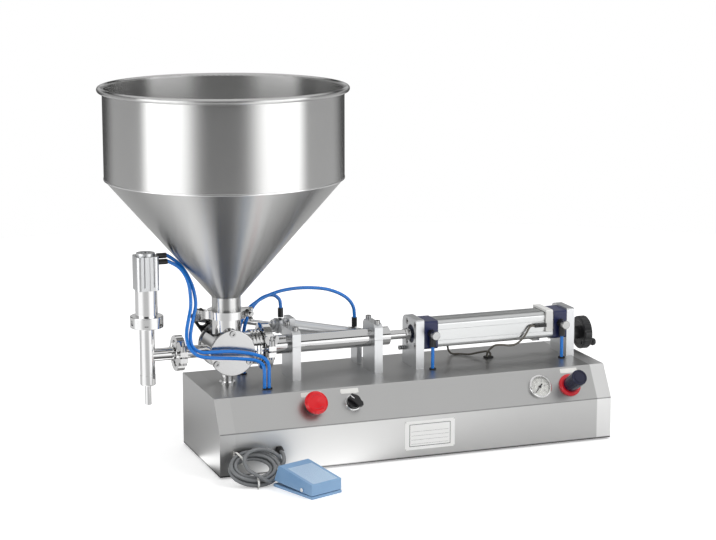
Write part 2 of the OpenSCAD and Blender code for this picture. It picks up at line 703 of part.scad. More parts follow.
module hopper_gasket() {
  color("dimgray") at_hopper_joint() translate([0, 0, -gasket_t / 2])
    ring(hopper_flange_r - 1, neck_r - sheet, gasket_t);
}
module gaskets_grommets() {
  color("dimgray") {
    at_outlet_joint() translate([0, 0, -gasket_t / 2])
      ring(outlet_flange_r - 1, branch_r - branch_wall, gasket_t);
    at_inlet_joint() translate([0, 0, -gasket_t / 2]) ring(inlet_flange_r - 1, tube_in_r, gasket_t);
    for (g = grommets) translate([g[0], g[1], top_z]) {
      cylinder(r = g[2], h = 2);
      translate([0, 0, -sheet - 2]) cylinder(r = g[2] - 2, h = sheet + 3);
    }
    // Cord gland in the case's front
    translate([cord_gland_x, front_y, cord_gland_z]) rotate([90, 0, 0]) {
      translate([0, 0, -sheet - 6]) cylinder(r = gland_r - 2, h = sheet + 6);
      hexagon(2 * gland_r - 1, 4);
      translate([0, 0, 4]) cylinder(r1 = gland_r - 0.8, r2 = cord_d / 2 + 1.2, h = 6.25);
    }
  }
}

module at_cover_screws(y) {
  for (a = cover_screw_angles)
    along_y([valve_x + cover_screw_ring * cos(a), y, axis_z + cover_screw_ring * sin(a)]) children();
}
// Rotary valve: body with three ports, open front and rear for the rotor
module valve_body() {
  color("silver") difference() {
    union() {
      along_y([valve_x, -valve_front, axis_z]) cylinder(r = valve_r, h = valve_front + valve_rear);
      translate([valve_x, 0, axis_z]) cylinder(r = neck_r, h = hopper_port_h - gasket_t / 2 - 1);
      at_hopper_joint() mirror([0, 0, 1]) translate([0, 0, gasket_t / 2])
        flange(neck_r - sheet, neck_r, hopper_flange_r, 12);
      at_outlet_joint() translate([0, 0, gasket_t / 2])
        flange(branch_r - branch_wall, branch_r, outlet_flange_r, outlet_gap - valve_r + 2);
      along_x([valve_x, 0, axis_z]) cylinder(r = inlet_flange_r - 8, h = inlet_gap - 6);
      for (i = [0:2]) along_x([valve_x + valve_r + 3 + 6 * i, 0, axis_z])
        cylinder(r = inlet_flange_r - 5, h = 3);
      at_inlet_joint() mirror([0, 0, 1]) translate([0, 0, gasket_t / 2])
        flange(tube_in_r, inlet_flange_r - 8, inlet_flange_r, 10);
    }
    along_y([valve_x, -valve_front - 1, axis_z])
      cylinder(r = rotor_bore_r, h = valve_front + valve_rear + 2);
    translate([valve_x, 0, axis_z]) cylinder(r = passage_r + 1, h = hopper_port_h + 1);
    translate([valve_x, 0, axis_z + valve_r + 2]) cylinder(r = neck_r - sheet, h = hopper_port_h);
    along_x([valve_x, 0, axis_z]) cylinder(r = tube_in_r, h = inlet_gap + 1);
    along_x([outlet_x - 1, 0, axis_z]) cylinder(r = branch_r - branch_wall, h = outlet_gap);
    at_cover_screws(-valve_front - 1) cylinder(r = screw_hole_r, h = 13);
  }
}
module valve_covers() {
  color("gainsboro") {
    difference() {
      union() {
        along_y([valve_x, -valve_front - cover_gap - cover_t, axis_z]) rotate_extrude()
          polygon(rounded([[0, 0, 0], [cover_r, 0, 1.2], [cover_r, cover_t, 0.6], [0, cover_t, 0]]));
        along_y([valve_x, -valve_front - cover_gap - 0.1, axis_z])
          cylinder(r = rotor_r, h = cover_gap + 1.6);
      }
      at_cover_screws(-valve_front - 9) {
        cylinder(r = screw_hole_r, h = 10);
        cylinder(r = 5.6, h = 9 - cover_gap - cover_t + 2.6);
      }
    }
    difference() {
      union() {
        along_y([valve_x, valve_rear, axis_z]) cylinder(r = cover_r - 0.3, h = cover_t);
        along_y([valve_x, rear_cover_end - 1, axis_z]) cylinder(r = boss_r, h = boss_l + 1);
      }
      along_y([valve_x, valve_rear - 1, axis_z]) cylinder(r = stem_r + running_gap, h = 30);
    }
  }
}
module valve_post() {
  color("silver") difference() {
    union() {
      translate([valve_x, 0, top_z]) cylinder(r = post_r, h = axis_h);
      translate([valve_x, 0, top_z]) cylinder(r = post_r + 4, h = 3);
    }
    along_y([valve_x, -60, axis_z]) cylinder(r = valve_r + 0.02, h = 120);
  }
}
// Rotor with a T passage: open up, down and to the material tube at rest
module valve_core() {
  rotor_l = valve_front + valve_rear - 4;
  color("lightsteelblue") difference() {
    union() {
      along_y([valve_x, -valve_front + 2, axis_z]) cylinder(r = rotor_r, h = rotor_l);
      along_y([valve_x, valve_rear - 3, axis_z]) cylinder(r = stem_r, h = stem_end - valve_rear + 3);
      along_y([valve_x, drive_y + lever_t / 2, axis_z]) hexagon(19, 4);
    }
    translate([valve_x, 0, axis_z]) cylinder(r = passage_r, h = 80, center = true);
    along_x([valve_x, 0, axis_z]) cylinder(r = passage_r, h = 40);
  }
}
// Place of the drive pin on its line, from the foot of the perpendicular, after a move s
function pin_u(s) = drive_half - s;
function pin_r_at(s) = norm([drive_h, pin_u(s)]);
// How far the pin's angle runs ahead of the lever's, when both move at a steady ratio
function pin_lead(s) = atan2(pin_u(s), drive_h) - 45 * pin_u(s) / drive_half;
function slot_half(s) = drive_pin_r + pin_play + abs(pin_r_at(s) * sin(pin_lead(s)));
lever_angle = 90 - drive_tilt + 45;
lever_tip = pin_r_at(0) + lever_reach;
module valve_lever() {
  steps = [for (s = [0:4:drive_half]) s];
  color("dimgray") translate([valve_x, lever_y, axis_z]) rotate([90, 0, 0]) mirror([0, 0, 1])
    rotate([0, 0, lever_angle]) linear_extrude(lever_t) difference() {
      union() {
        circle(lever_hub_r);
        translate([0, -lever_half_w]) square([lever_tip - 3, 2 * lever_half_w]);
        translate([lever_tip - 4, -lever_half_w + 3]) square([4, 2 * lever_half_w - 6]);
        for (s = [-1, 1]) translate([lever_tip - 3, s * (lever_half_w - 3)]) circle(3);
      }
      circle(stem_r + 0.02);
      translate([drive_h, 0]) circle(drive_pin_r + pin_play);
      for (s = [0:2:drive_half], m = [-1, 1]) let (r = pin_r_at(s), a = pin_lead(s))
        translate([r * cos(a), m * r * sin(a)]) circle(drive_pin_r + pin_play, $fn = 32);
      polygon(concat(
        [[lever_tip + 5, drive_pin_r + pin_play]],
        [for (s = steps) [pin_r_at(s), slot_half(s)]],
        [for (i = [len(steps) - 1:-1:0]) [pin_r_at(steps[i]), -slot_half(steps[i])]],
        [[lever_tip + 5, -drive_pin_r - pin_play]]));
    }
}
// Air actuator of the valve, tilted down towards the rear
module actuator_body() {
  port_r = 5;
  color("gainsboro") difference() {
    union() {
      on_drive(body_t - drive_body_l) cylinder(r = drive_body_r, h = drive_body_l);
      on_drive(body_t - 24) cylinder(r = drive_body_r + 0.8, h = 22);
      on_drive(body_t - drive_body_l + 2) cylinder(r = drive_body_r + 0.8, h = 22);
      on_drive(body_t - 1) cylinder(r = 9, h = nose_l + 1);
      on_drive(body_t + 3) hexagon(24, 6);
      on_drive(body_t + 11) hexagon(22, 5);
    }
    on_drive(body_t - 8 - drive_stroke - 30) cylinder(r = drive_body_r - 1.5, h = drive_stroke + 30);
    on_drive(body_t - 10) cylinder(r = drive_rod_r + running_gap, h = nose_l + 20);
  }
}
// Rod with its piston inside the barrel, and the clevis that holds the drive pin
module actuator_rod() {
  color("lightgray") {
    difference() {
      union() {
        on_drive(body_t - 20) cylinder(r = drive_body_r - 1.5 - running_gap, h = 10);
        on_drive(body_t - 14)
          cylinder(r = drive_rod_r, h = drive_half - clevis_depth - body_t + 12);
        on_drive(drive_half - clevis_end) cylinder(r = clevis_half - 1, h = 10);
        on_drive(drive_half - clevis_depth)
          translate([-clevis_half, -clevis_gap / 2 - clevis_arm, 0])
            cube([2 * clevis_half, clevis_gap + 2 * clevis_arm, clevis_depth + 7]);
      }
      on_drive(drive_half - clevis_depth) translate([-30, -clevis_gap / 2, 0.01])
        cube([60, clevis_gap, 80]);
    }
    on_drive(drive_half) rotate([90, 0, 0])
      cylinder(r = drive_pin_r, h = clevis_gap + 2 * clevis_arm + 3, center = true);
  }
}

// T-shaped tube under the filling head, with its branch to the valve
module filling_tee() {
  color("silver") difference() {
    union() {
      translate([head_x, 0, tee_foot]) cylinder(r = head_tube_r, h = union_z - tee_foot + 4);
      translate([head_x, 0, union_z + 0.6]) cylinder(r = union_r - 6, h = 8);
      along_x([head_x, 0, axis_z])
        cylinder(r = branch_r, h = head_gap - outlet_gap - gasket_t / 2 - 1);
      at_outlet_joint() mirror([0, 0, 1]) translate([0, 0, gasket_t / 2])
        flange(branch_r - branch_wall, branch_r, outlet_flange_r, 12);
    }
    translate([head_x, 0, tee_foot - 1])
      cylinder(r = head_tube_r - head_tube_wall, h = union_z - tee_foot + 20);
    along_x([head_x, 0, axis_z]) cylinder(r = branch_r - branch_wall, h = head_gap);
  }
}
// Slotted round nut that clamps the spacer onto the tube
module union_nut() {
  lip = 5;
  color("silver") translate([head_x, 0, union_z]) difference() {
    rotate_extrude() polygon(rounded([
      [union_r - 5.9, 0, 0], [union_r, 0, 1.5], [union_r, union_h, 1.5], [spacer_r + 0.1, union_h, 0],
      [spacer_r + 0.1, union_h - lip, 0], [union_r - 5.9, union_h - lip, 0]
    ]));
    for (a = [0:60:300]) rotate([0, 0, a + 15]) translate([union_r - 2.6, -3.2, union_h * 0.28])
      cube([10, 6.4, union_h * 0.44]);
  }
}
module head_spacer() {
  inner = spacer_r - 3;
  foot = union_z + 8.8;
  color("lightgray") translate([head_x, 0, 0]) difference() {
    union() {
      translate([0, 0, foot]) cylinder(r = spacer_r, h = head_z - foot);
      translate([0, 0, foot]) cylinder(r = union_r - 6, h = union_z + union_h - 5 - foot - 0.02);
    }
    translate([0, 0, foot + 8]) cylinder(r = inner, h = head_z - foot - 16);
    translate([0, 0, foot - 1]) cylinder(r = head_stem_r + running_gap, h = head_z);
  }
}
module head_cylinder() {
  color("gainsboro") translate([head_x, 0, head_z]) difference() {
    union() {
      round_box(head_w, head_w, head_h, 7);
      cylinder(r = head_w / 2 - 3.7, h = head_h + 5);
    }
    for (s = [-1, 1]) translate([s * 8, -head_w / 2, 6]) cube([2.4, 3, 80]);
    translate([-3, -head_w / 2 - 1, -1]) cube([6, 2.6, head_h + 2]);
    translate([0, 0, 6]) cylinder(r = head_bore_r, h = head_h - 10);
    translate([0, 0, -1]) cylinder(r = head_stem_r + running_gap, h = 10);
    translate([0, 0, head_h + 3]) cylinder(r = 7, h = 10);
  }
}
module head_stem() {
  color("silver") translate([head_x, 0, 0]) {
    translate([0, 0, nozzle_z + 8]) cylinder(r = head_stem_r, h = head_z + 16 - nozzle_z - 8);
    translate([0, 0, head_z + 8]) cylinder(r = head_bore_r - running_gap, h = 12);
    translate([0, 0, nozzle_z + 5.8]) cylinder(r1 = nozzle_bore_r + 1, r2 = 7, h = 4);
    translate([0, 0, nozzle_z + 9.8]) cylinder(r = 7, h = 6);
  }
}
module nozzle() {
  color("silver") translate([head_x, 0, 0]) difference() {
    union() {
      translate([0, 0, nozzle_z]) rotate_extrude() polygon(rounded([
        [0, 0, 0], [nozzle_collar_r, 0, 2], [nozzle_collar_r, nozzle_collar_h, 0],
        [0, nozzle_collar_h, 0]
      ]));
      translate([0, 0, nozzle_end]) cylinder(r = nozzle_r, h = nozzle_l + 1);
    }
    translate([0, 0, nozzle_z + 5.5]) cylinder(r = head_tube_r - head_tube_wall - 2, h = 30);
    translate([0, 0, nozzle_end - 1]) cylinder(r = nozzle_bore_r, h = 60);
  }
}

module material_cylinder() {
  color("silver") difference() {
    union() {
      along_x([tube_x0, 0, axis_z]) cylinder(r = tube_r, h = tube_l);
      at_inlet_joint() translate([0, 0, gasket_t / 2])
        flange(tube_in_r, tube_r + 3, inlet_flange_r, 16);
    }
    along_x([tube_x0 - 1, 0, axis_z]) cylinder(r = tube_in_r, h = tube_l + 2);
  }
}
// Split support: base and cap round the material tube
module support_outline(z0, z1, chamfer) {
  polygon([
    [-block_half_w, z0], [block_half_w, z0], [block_half_w, z1 - chamfer],
    [block_half_w - chamfer, z1], [-block_half_w + chamfer, z1], [-block_half_w, z1 - chamfer]
  ]);
}
module drive_support(x, w, h_over) {
  z = drive_line_z(x);
  difference() {
    translate([x - w / 2, drive_y - drive_support_w / 2, top_z])
      cube([w, drive_support_w, z + h_over - top_z]);
    on_drive(-300) cylinder(r = drive_body_r + 0.82, h = 400);
  }
}
module cylinder_supports() {
  color("gainsboro") {
    for (x = support_x) {
      along_x([x, 0, 0]) difference() {
        linear_extrude(block_t) support_outline(top_z, axis_z - 0.2, 0);
        translate([0, axis_z, -1]) cylinder(r = tube_r + 0.02, h = block_t + 2);
      }
      along_x([x, 0, 0]) difference() {
        linear_extrude(block_t) support_outline(axis_z + 0.2, axis_z + block_rise, 6);
        translate([0, axis_z, -1]) cylinder(r = tube_r + 0.02, h = block_t + 2);
        for (s = [-1, 1]) translate([s * block_screw_y, axis_z - 1, block_t / 2]) rotate([-90, 0, 0])
          cylinder(r = screw_hole_r, h = 60);
      }
    }
  }
  color("dimgray") {
    drive_support(drive_foot[0] - body_t * cos(drive_tilt) + 14, 10, drive_body_r + 5);
    drive_support(drive_foot[0] - (body_t - drive_body_l) * cos(drive_tilt) - 8, 9, -2);
  }
}
module socket_screw(r_head, h_head, l) {
  difference() {
    cylinder(r = r_head, h = h_head);
    translate([0, 0, h_head - 2.4]) cylinder(r = r_head * 0.55, h = 3, $fn = 6);
  }
  translate([0, 0, -l]) cylinder(r = screw_hole_r - 0.05, h = l + 0.1);
}
module cap_screw_places(x) {
  s = cap_screw_pitch / 2;
  for (y = [-s, s], z = [-s, s]) along_x([x, y, axis_z + z]) children();
}
module fasteners() {
  color("silver") {
    at_hopper_joint() clamp_bolt(hopper_flange_r);
    at_outlet_joint() clamp_bolt(outlet_flange_r);
    at_inlet_joint() clamp_bolt(inlet_flange_r);
    for (x = support_x, s = [-1, 1])
      translate([x + block_t / 2, s * block_screw_y, axis_z + block_rise])
        socket_screw(5, 6, block_rise - 1);
    at_cover_screws(-valve_front - cover_gap - cover_t + 2.6) mirror([0, 0, 1])
      socket_screw(5, 5, 12);
    cap_screw_places(bracket_x + 6) rotate([180, 0, 0]) socket_screw(5, 5.5, block_t + 6);
    cap_screw_places(bracket_end - 6) socket_screw(5, 5.5, block_t + 6);
  }
}
module material_piston() {
  color("white") difference() {
    along_x([piston_x, 0, axis_z]) cylinder(r = tube_in_r - running_gap, h = piston_l);
    for (x = [5, piston_l - 8]) along_x([piston_x + x, 0, axis_z]) ring(30, tube_in_r - 2.5, 3);
    along_x([piston_x + 8, 0, axis_z]) cylinder(r = rod_r * 0.75 + 0.02, h = 60);
  }
}
module piston_seals() {
  color("dimgray") {
    for (x = [5, piston_l - 8]) along_x([piston_x + x, 0, axis_z])
      ring(tube_in_r - 0.02, tube_in_r - 2.5, 3);
    along_x([air_piston_x + air_piston_l / 2 - 2, 0, axis_z])
      ring(barrel_in_r - 0.02, barrel_in_r - 3, 4);
  }
}
// Piston rod with its lock nut, turned down where it enters the material piston
module piston_rod() {
  nut_x = bracket_x - 12;
  rod_l = air_piston_x + 4 - piston_x - piston_l;
  color("lightgray") {
    along_x([piston_x + 8, 0, axis_z]) cylinder(r = rod_r * 0.75, h = piston_l - 8);
    along_x([piston_x + piston_l, 0, axis_z]) cylinder(r = rod_r, h = rod_l);
    along_x([nut_x, 0, axis_z]) hexagon(19, 8);
  }
}
module air_piston() {
  color("dimgray") difference() {
    along_x([air_piston_x, 0, axis_z]) cylinder(r = barrel_in_r - running_gap, h = air_piston_l);
    along_x([air_piston_x + air_piston_l / 2 - 2, 0, axis_z]) ring(40, barrel_in_r - 3, 4);
    along_x([air_piston_x - 1, 0, axis_z]) cylinder(r = rod_r + 0.02, h = 5);
  }
}
module air_barrel() {
  half = barrel_w / 2;
  color("white") along_x([barrel_x, 0, axis_z]) difference() {
    linear_extrude(barrel_l) difference() {
      round_rect(barrel_w, barrel_w, 7);
      for (a = [0:90:270], s = [-9.5, 9.5]) rotate(a) translate([s - 1.6, half - 1.3]) square([3.2, 3]);
    }
    translate([0, 0, -1]) cylinder(r = barrel_in_r, h = barrel_l + 2);
  }
}
// Square end cap; its boss fills the bracket's bore on the side s
module end_cap(x, s) {
  port_y = -cap_w / 2;
  color("midnightblue") difference() {
    union() {
      along_x([x, 0, axis_z]) round_box(cap_w, cap_w, cap_l, 4);
      along_x([s < 0 ? x - block_t + 5 : x + cap_l - 1, 0, axis_z])
        cylinder(r = bracket_bore_r - 0.2, h = block_t - 4);
    }
    if (s < 0) along_x([x - 40, 0, axis_z]) cylinder(r = rod_r + running_gap, h = 90);
    along_x([s < 0 ? x + cap_l - 8 : x - 1, 0, axis_z]) cylinder(r = 12, h = 9);
    along_y([x + cap_l / 2, port_y - 1, axis_z + port_rise]) cylinder(r = 4.05, h = 12);
    cap_screw_places(s < 0 ? x - 1 : x + cap_l - 14) cylinder(r = screw_hole_r, h = 15);
  }
}
module end_caps() {
  end_cap(front_cap_x, -1);
  end_cap(rear_cap_x, 1);
}
module bracket(x, outer) {
  r = 14;
  color("gainsboro") difference() {
    along_x([x, 0, 0]) linear_extrude(block_t) polygon(rounded([
      [-bracket_front, top_z, 0], [bracket_rear, top_z, 0], [bracket_rear, axis_z + bracket_rise, r],
      [-bracket_front, axis_z + bracket_rise, 3]
    ]));
    along_x([x - 1, 0, axis_z]) cylinder(r = bracket_bore_r, h = block_t + 2);
    along_x([x - 1, screw_y, screw_z]) cylinder(r = screw_r + running_gap, h = block_t + 2);
    cap_screw_places(x - 1) cylinder(r = screw_hole_r, h = block_t + 2);
    cap_screw_places(outer < 0 ? x - 1 : x + block_t - 6) cylinder(r = 5.5, h = 7);
  }
}
module cylinder_brackets() {
  bracket(bracket_x, -1);
  bracket(rear_bracket_x, 1);
}
// Speed controllers on the caps, and push-in fittings on the head and the actuator
module speed_controller(x) {
  y0 = -cap_w / 2;
  translate([x, y0, axis_z + port_rise]) rotate([90, 0, 0]) difference() {
    union() {
      translate([0, 0, -6]) cylinder(r = 4, h = 8);
      hexagon(13, 3);
      cylinder(r = 6.2, h = 15);
    }
    translate([0, 0, 8]) cylinder(r = knob_stem_r + running_gap, h = 10);
  }
  translate([x, y0 - 8, axis_z + port_rise - 22]) difference() {
    cylinder(r = 5.6, h = 18);
    translate([0, 0, -0.01]) cylinder(r = air_d / 2 + 0.05, h = 4);
  }
}
module tube_fittings() {
  color("dimgray") {
    for (x = [front_cap_x, rear_cap_x]) speed_controller(x + cap_l / 2);
    for (p = head_ports) let (l = p[0] - head_x - head_w / 2)
      translate([head_x + head_w / 2, p[1], p[2]]) rotate([0, 90, 0]) difference() {
        translate([0, 0, 0.02]) cylinder(r = 4.6, h = l + 6);
        translate([0, 0, l - 0.3]) cylinder(r = air_d / 2 + 0.05, h = 8);
      }
    for (p = drive_ports) translate([p[0], drive_y, 0]) difference() {
      translate([0, 0, drive_port_z(p[0])]) cylinder(r = 4.8, h = p[1] + 5 - drive_port_z(p[0]));
      translate([0, 0, p[1] - 0.3]) cylinder(r = air_d / 2 + 0.05, h = 8);
    }
  }
}
module speed_knob(x) {
  color("silver") translate([x, -cap_w / 2 - 15, axis_z + port_rise]) rotate([90, 0, 0]) {
    translate([0, 0, -6]) cylinder(r = knob_stem_r, h = 8);
    difference() {
      translate([0, 0, 0.5]) rotate_extrude()
        polygon(rounded([[0, 0, 0], [7.5, 0, 0.8], [7.5, 9.5, 1.2], [0, 9.5, 0]]));
      for (a = [0:30:330]) rotate([0, 0, a]) translate([7.9, 0, -1]) cylinder(r = 0.8, h = 20);
    }
  }
}
module speed_knob_front() { speed_knob(front_cap_x + cap_l / 2); }
module speed_knob_rear() { speed_knob(rear_cap_x + cap_l / 2); }

// Saddle over the barrel that carries the reed sensor, moved by the lead screw
module sensor_carriage() {
  out = carriage_in + carriage_wall;
  color("whitesmoke") difference() {
    along_x([carriage_x, 0, 0]) linear_extrude(carriage_w) polygon(rounded([
      [-out, axis_z - 11, 1], [-carriage_in, axis_z - 11, 0], [-carriage_in, axis_z + carriage_in, 0],
      [carriage_in, axis_z + carriage_in, 0], [carriage_in, screw_z + 9, 0],
      [screw_y - 7, screw_z + 9, 0], [screw_y - 7, screw_z - 7, 1], [screw_y + 7, screw_z - 7, 1],
      [screw_y + 7, screw_z + 9, 1], [out, screw_z + 9.01, 0], [out, axis_z + out, 3],
      [-out, axis_z + out, 3]
    ]));
    along_x([carriage_x - 1, screw_y, screw_z]) cylinder(r = screw_r + running_gap, h = carriage_w + 2);
  }
}
module reed_sensor() {
  color("dimgray") translate([carriage_x - 22, -carriage_in - 6, axis_z - 1]) {
    cube([22, 6 - 0.4, 6]);
    translate([8, -1, 1.5]) cube([6, 1, 3]);
  }
}
module home_sensor() {
  color("dimgray") translate([barrel_x + 4, barrel_w / 2, axis_z - 16]) cube([22, 5.5, 6]);
}
module sensor_leads() {
  color("gray") {
    sweep(smooth(route_lead_reed), lead_d / 2);
    sweep(smooth(route_lead_home), lead_d / 2);
  }
}
// Trapezoidal lead screw with a thrust collar on each side of the rear bracket
module lead_screw() {
  color("lightgray") {
    along_x([bracket_x - 10, screw_y, screw_z])
      cylinder(r = screw_r, h = wheel_x + wheel_t - bracket_x + 10);
    along_x([rear_bracket_x - 8.3, screw_y, screw_z]) ring(7, screw_r - 0.5, 8);
    along_x([bracket_end + 0.3, screw_y, screw_z]) ring(7, screw_r - 0.5, 8);
  }
}
module handwheel() {
  color("dimgray") along_x([wheel_x, screw_y, screw_z]) difference() {
    rotate_extrude() polygon(rounded([
      [screw_r + 0.02, -14, 0], [12, -14, 1], [12, 1, 1], [wheel_r - 9, 1, 0], [wheel_r - 7, 0, 0],
      [wheel_r, 0, 3], [wheel_r, wheel_t, 3], [wheel_r - 7, wheel_t, 2], [wheel_r - 9, 8, 0],
      [13, 8, 1], [12, 14, 1], [screw_r + 0.02, 14, 0]
    ]));
    for (a = [15:30:345]) rotate([0, 0, a]) translate([wheel_r + 2.6, 0, -1])
      cylinder(r = 4, h = wheel_t + 2);
    rotate([0, 0, wheel_knob_a]) translate([wheel_r - 8, 0, -1])
      cylinder(r = knob_stem_r + running_gap, h = wheel_t + 2);
  }
}
module handwheel_knob() {
  color("dimgray") along_x([wheel_x, screw_y, screw_z]) rotate([0, 0, wheel_knob_a])
    translate([wheel_r - 8, 0, 0]) {
      translate([0, 0, 2]) cylinder(r = knob_stem_r, h = wheel_t);
      translate([0, 0, wheel_t + 0.5]) rotate_extrude() polygon(rounded([
        [0, 0, 0], [wheel_knob_r - 2, 0, 1], [wheel_knob_r, 6, 2], [wheel_knob_r - 1, 11, 3],
        [0, 11, 0]
      ]));
    }
}

// Emergency stop: panel sleeve, plunger that slides, mushroom head that twists
module estop_base() {
  color("dimgray") on_panel(estop_x, estop_up) {
    difference() {
      union() {
        translate([0, 0, 0.02]) cylinder(r = 14.5, h = 7);
        translate([0, 0, -sheet - 22]) cylinder(r = device_hole_r - 0.1, h = sheet + 23);
      }
      translate([0, 0, -sheet - 20]) cylinder(r = stem_hole_r, h = 60);
    }
    translate([-15, -18, -sheet - 44]) cube([30, 36, 22]);
  }
}
module estop_plunger() {
  color("firebrick") on_panel(estop_x, estop_up) translate([0, 0, -14])
    cylinder(r = stem_hole_r - running_gap, h = 28);
}
module estop_head() {
  low = 7 + estop_travel + 0.5;
  color("red") on_panel(estop_x, estop_up) translate([0, 0, low])
    rotate_extrude() polygon(rounded([
      [stem_hole_r + 0.1, 0, 0], [13.5, 0, 1.5], [estop_r, 4.5, 2], [estop_r, 9, 2.5],
      [estop_r - 4, 12.5, 3], [0, 14.5, 0], [0, 3, 0], [stem_hole_r + 0.1, 3, 0]
    ]));
}
module selector_bezel() {
  color("silver") on_panel(selector_x, selector_up) {
    difference() {
      union() {
        translate([0, 0, 0.02]) rotate_extrude() polygon(rounded([
          [0, 0, 0], [selector_r, 0, 0.5], [selector_r - 1, 3.5, 1], [0, 3.5, 0]
        ]));
        translate([0, 0, -sheet - 22]) cylinder(r = device_hole_r - 0.1, h = sheet + 23);
      }
      translate([0, 0, -8]) cylinder(r = stem_hole_r, h = 60);
    }
    translate([-15, -18, -sheet - 44]) cube([30, 36, 22]);
  }
}
module selector_lever() {
  color("black") on_panel(selector_x, selector_up) rotate([0, 0, selector_rest]) {
    translate([0, 0, -6]) cylinder(r = stem_hole_r - running_gap, h = 12);
    translate([0, 0, 3.9]) cylinder(r = 11.8, h = 6);
    difference() {
      translate([0, 0, 9]) linear_extrude(9) polygon(rounded([
        [-5, 11.8, 2], [-5, -12, 2], [0, -16.5, 2], [5, -12, 2], [5, 11.8, 2]]));
      translate([-0.8, 3, 17.2]) cube([1.6, 12, 3]);
    }
  }
}
// Pressure gauge: case, needle between two stops, glass
module gauge_case() {
  color("silver") on_panel(gauge_x, gauge_up) difference() {
    union() {
      translate([0, 0, 0.02]) rotate_extrude() polygon(rounded([
        [0, 0, 0], [gauge_r, 0, 1], [gauge_r, 5, 2], [gauge_r - 2, 6.5, 0.5], [0, 6.5, 0]
      ]));
      translate([0, 0, -24]) cylinder(r = gauge_r - 2.7, h = 25);
      translate([0, 0, -36]) cylinder(r = 5, h = 13);
    }
    translate([0, 0, 0.5]) cylinder(r = gauge_r - 3.2, h = 20);
    translate([0, 0, -6]) cylinder(r = 1.55, h = 20);
  }
}
module gauge_needle() {
  color("black") on_panel(gauge_x, gauge_up) rotate([0, 0, gauge_zero]) {
    translate([0, 0, -5]) cylinder(r = 1.5, h = 7);
    translate([0, 0, 1.4]) cylinder(r = 2.6, h = 1);
    translate([0, 0, 1.5]) linear_extrude(0.7)
      polygon([[-1.2, -7], [1.2, -7], [0.4, gauge_r - 6], [-0.4, gauge_r - 6]]);
  }
}
module gauge_glass() {
  color("white", 0.3) on_panel(gauge_x, gauge_up) translate([0, 0, 3.4])
    cylinder(r = gauge_r - 3.25, h = 1.4);
}
// Pressure regulator behind the panel, with its red lock ring in front
module regulator_body() {
  color("crimson") on_panel(regulator_x, regulator_up) difference() {
    union() {
      translate([0, 0, 0.02]) rotate_extrude() polygon(rounded([
        [0, 0, 0], [regulator_ring_r, 0, 1], [regulator_ring_r, 3, 1],
        [regulator_ring_r - 3.5, 6, 0.8], [0, 6, 0]
      ]));
      translate([0, 0, -20]) cylinder(r = regulator_neck_r - 0.2, h = 21);
      translate([0, 0, -sheet - 58]) round_box(38, 38, 46, 5);
      translate([0, 0, -sheet - 34]) rotate([0, 90, 0]) cylinder(r = 8, h = 52, center = true);
    }
    translate([0, 0, -20]) cylinder(r = regulator_knob_r - 3 + running_gap, h = 40);
  }
}
module regulator_knob() {
  color("midnightblue") on_panel(regulator_x, regulator_up) difference() {
    union() {
      translate([0, 0, 6.5]) rotate_extrude() polygon(rounded([
        [0, 0, 0], [regulator_knob_r, 0, 1], [regulator_knob_r, regulator_knob_l, 2.5],
        [0, regulator_knob_l, 0]
      ]));
      translate([0, 0, -15]) cylinder(r = regulator_knob_r - 3, h = 25);
    }
    for (a = [0:30:330]) rotate([0, 0, a]) translate([regulator_knob_r + 0.8, 0, 9])
      cylinder(r = 1.4, h = regulator_knob_l - 8);
    translate([0, 0, 5.5 + regulator_knob_l])
      ring(regulator_knob_r - 3.5, regulator_knob_r - 4.7, 3);
  }
}
module air_tubes() {
  color("royalblue") {
    for (r = [route_head_upper, route_head_lower, route_drive_front, route_drive_rear])
      sweep(smooth(r), air_d / 2);
    for (x = [front_cap_x, rear_cap_x]) translate([x + cap_l / 2, -cap_w / 2 - 8, 0])
      sweep([[0, 0, top_z + 2], [0, 0, axis_z + port_rise - 18.3]], air_d / 2);
  }
}
// Foot pedal
module at_pedal() { translate([pedal_at[0], pedal_at[1], 0]) rotate([0, 0, pedal_turn]) children(); }
module at_pedal_pin() { translate([0, pedal_pin[0], pedal_pin[1]]) rotate([0, 90, 0]) children(); }
// Outline of the hood from the side, set in from the outside by inset
module pedal_side(h0, inset, z0) {
  l = pedal_l / 2;
  polygon(rounded([
    [-l + 1 + inset, z0, 0], [l - z0 * 0.37 - inset, z0 + h0, 0],
    [pedal_back_y - inset, pedal_high - inset * 1.1, 1], [-l + 1 + inset, pedal_low - inset * 1.1, 1]
  ]));
}
module pedal_base() {
  w = pedal_w / 2;
  lug_w = 5;
  color("steelblue") at_pedal() {
    difference() {
      union() {
        translate([-w, -pedal_l / 2, 0]) cube([pedal_w, pedal_l, pedal_base_t]);
        for (x = [pedal_wall + 1 - w, w - pedal_wall - 1 - lug_w])
          translate([x, pedal_pin[0] - 6, 1]) cube([lug_w, 12, pedal_pin[1] + 4]);
        translate([-12, -2, 1]) cube([24, 22, 15]);
        translate([pedal_gland[0] - 7, pedal_back_y - 12, 1]) cube([14, 14, 13]);
      }
      at_pedal_pin() cylinder(r = pedal_pin_r, h = pedal_w, center = true);
    }
    at_pedal_pin() {
      cylinder(r = pedal_pin_r - 0.02, h = pedal_w + 1, center = true);
      for (s = [-1, 1]) translate([0, 0, s * (w + 0.8)])
        cylinder(r = pedal_pin_r + 0.6, h = 1, center = true);
    }
    along_y([pedal_gland[0], pedal_back_y + 2, pedal_gland[1]])
      cylinder(r1 = cord_d / 2 + 1.6, r2 = cord_d / 2 + 0.8, h = pedal_mouth - pedal_back_y - 2);
  }
}
